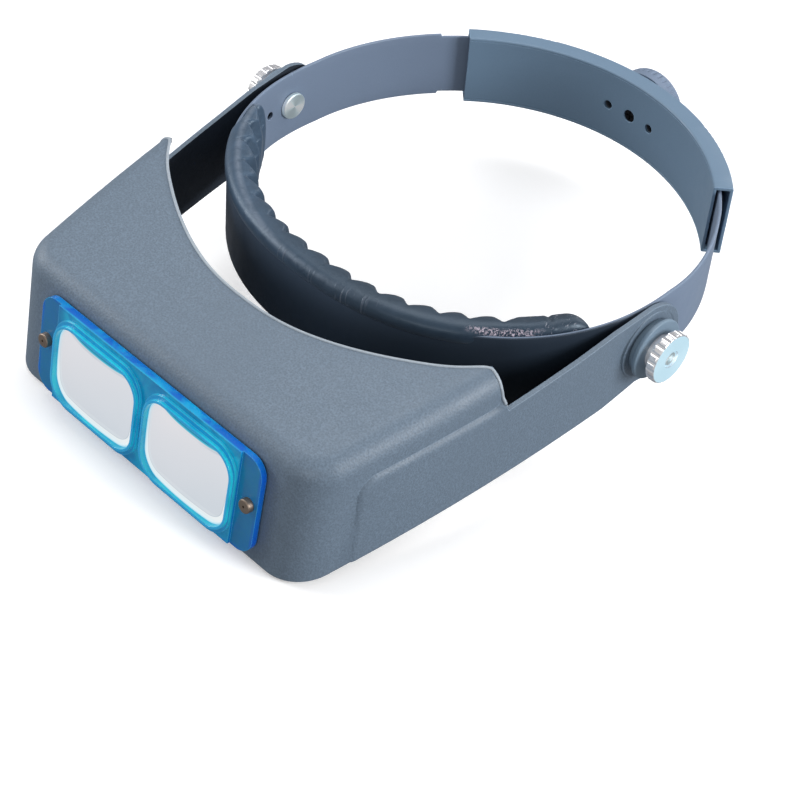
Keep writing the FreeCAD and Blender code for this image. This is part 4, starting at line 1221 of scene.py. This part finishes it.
def studio_world(ambient=0.40, camera_extra=0.56):
    """White surroundings, brighter to the camera than to the object."""
    world = bpy.data.worlds.new("studio")
    scene.world = world
    world.use_nodes = True
    nodes, links = world.node_tree.nodes, world.node_tree.links
    background = nodes["Background"]
    background.inputs["Color"].default_value = (1.0, 1.0, 1.0, 1)
    background.inputs["Strength"].default_value = ambient
    path = nodes.new("ShaderNodeLightPath")
    strength = nodes.new("ShaderNodeMath")
    strength.operation = "MULTIPLY_ADD"
    strength.inputs[1].default_value = camera_extra
    strength.inputs[2].default_value = ambient
    links.new(path.outputs["Is Camera Ray"], strength.inputs[0])
    links.new(strength.outputs[0], background.inputs["Strength"])


# Area lights, in metres and watts: name, place, target, size, power.
LIGHTS = [
    ("key_top", (-0.35, 0.30, 1.30), (0, -0.03, 0), (0.8, 0.8), 7.2),
    ("left", (-1.2, -0.60, 0.55), (0, -0.05, 0), (0.7, 0.7), 12.0),
    ("right_back", (1.25, 0.35, 0.50), (0, -0.05, 0), (0.6, 0.6), 18.0),
    ("front", (0.55, -1.25, 0.45), (0, -0.05, 0), (0.7, 0.5), 3.5),
    ("rim_back", (0.05, 1.2, 0.6), (0, 0, 0), (0.9, 0.5), 4.0),
]


def area_light(name, place, target, size, power):
    light = bpy.data.lights.new(name, "AREA")
    light.shape = "RECTANGLE"
    light.size, light.size_y = size
    light.energy = power
    light.color = (1, 1, 1)
    obj = bpy.data.objects.new(name, light)
    scene.collection.objects.link(obj)
    obj.location = place
    aim = Vector(target) - Vector(place)
    obj.rotation_euler = aim.to_track_quat("-Z", "Y").to_euler()


floor()
studio_world()
for row in LIGHTS:
    area_light(*row)

# ------------------------------------------------------------------- camera
AZIMUTH, ELEVATION, ROLL = 0.732030744, 0.746279652, 0.0936797419    # radians
DISTANCE, SHIFT_RIGHT, SHIFT_UP = 714.786709, 5.03871704, -50.5097530
AIM = Vector((0, -47.0, 0))
SENSOR_W, FOCAL_LENGTH = 36.0, 93.7865088


def camera():
    back = Vector((math.sin(AZIMUTH) * math.cos(ELEVATION),
                   -math.cos(AZIMUTH) * math.cos(ELEVATION), math.sin(ELEVATION)))
    level = Vector((math.cos(AZIMUTH), math.sin(AZIMUTH), 0.0))
    upright = back.cross(level)
    cos, sin = math.cos(ROLL), math.sin(ROLL)
    right = level * cos + upright * sin
    up = level * (-sin) + upright * cos
    place = back * DISTANCE + right * SHIFT_RIGHT + up * SHIFT_UP + AIM
    data = bpy.data.cameras.new("camera")
    obj = bpy.data.objects.new("camera", data)
    scene.collection.objects.link(obj)
    data.sensor_width = SENSOR_W
    data.lens = FOCAL_LENGTH
    data.clip_start, data.clip_end = 0.01, 50.0
    rows = [(right[i], up[i], back[i], place[i] * MM) for i in range(3)]
    obj.matrix_world = Matrix((*rows, (0, 0, 0, 1)))
    scene.camera = obj


camera()
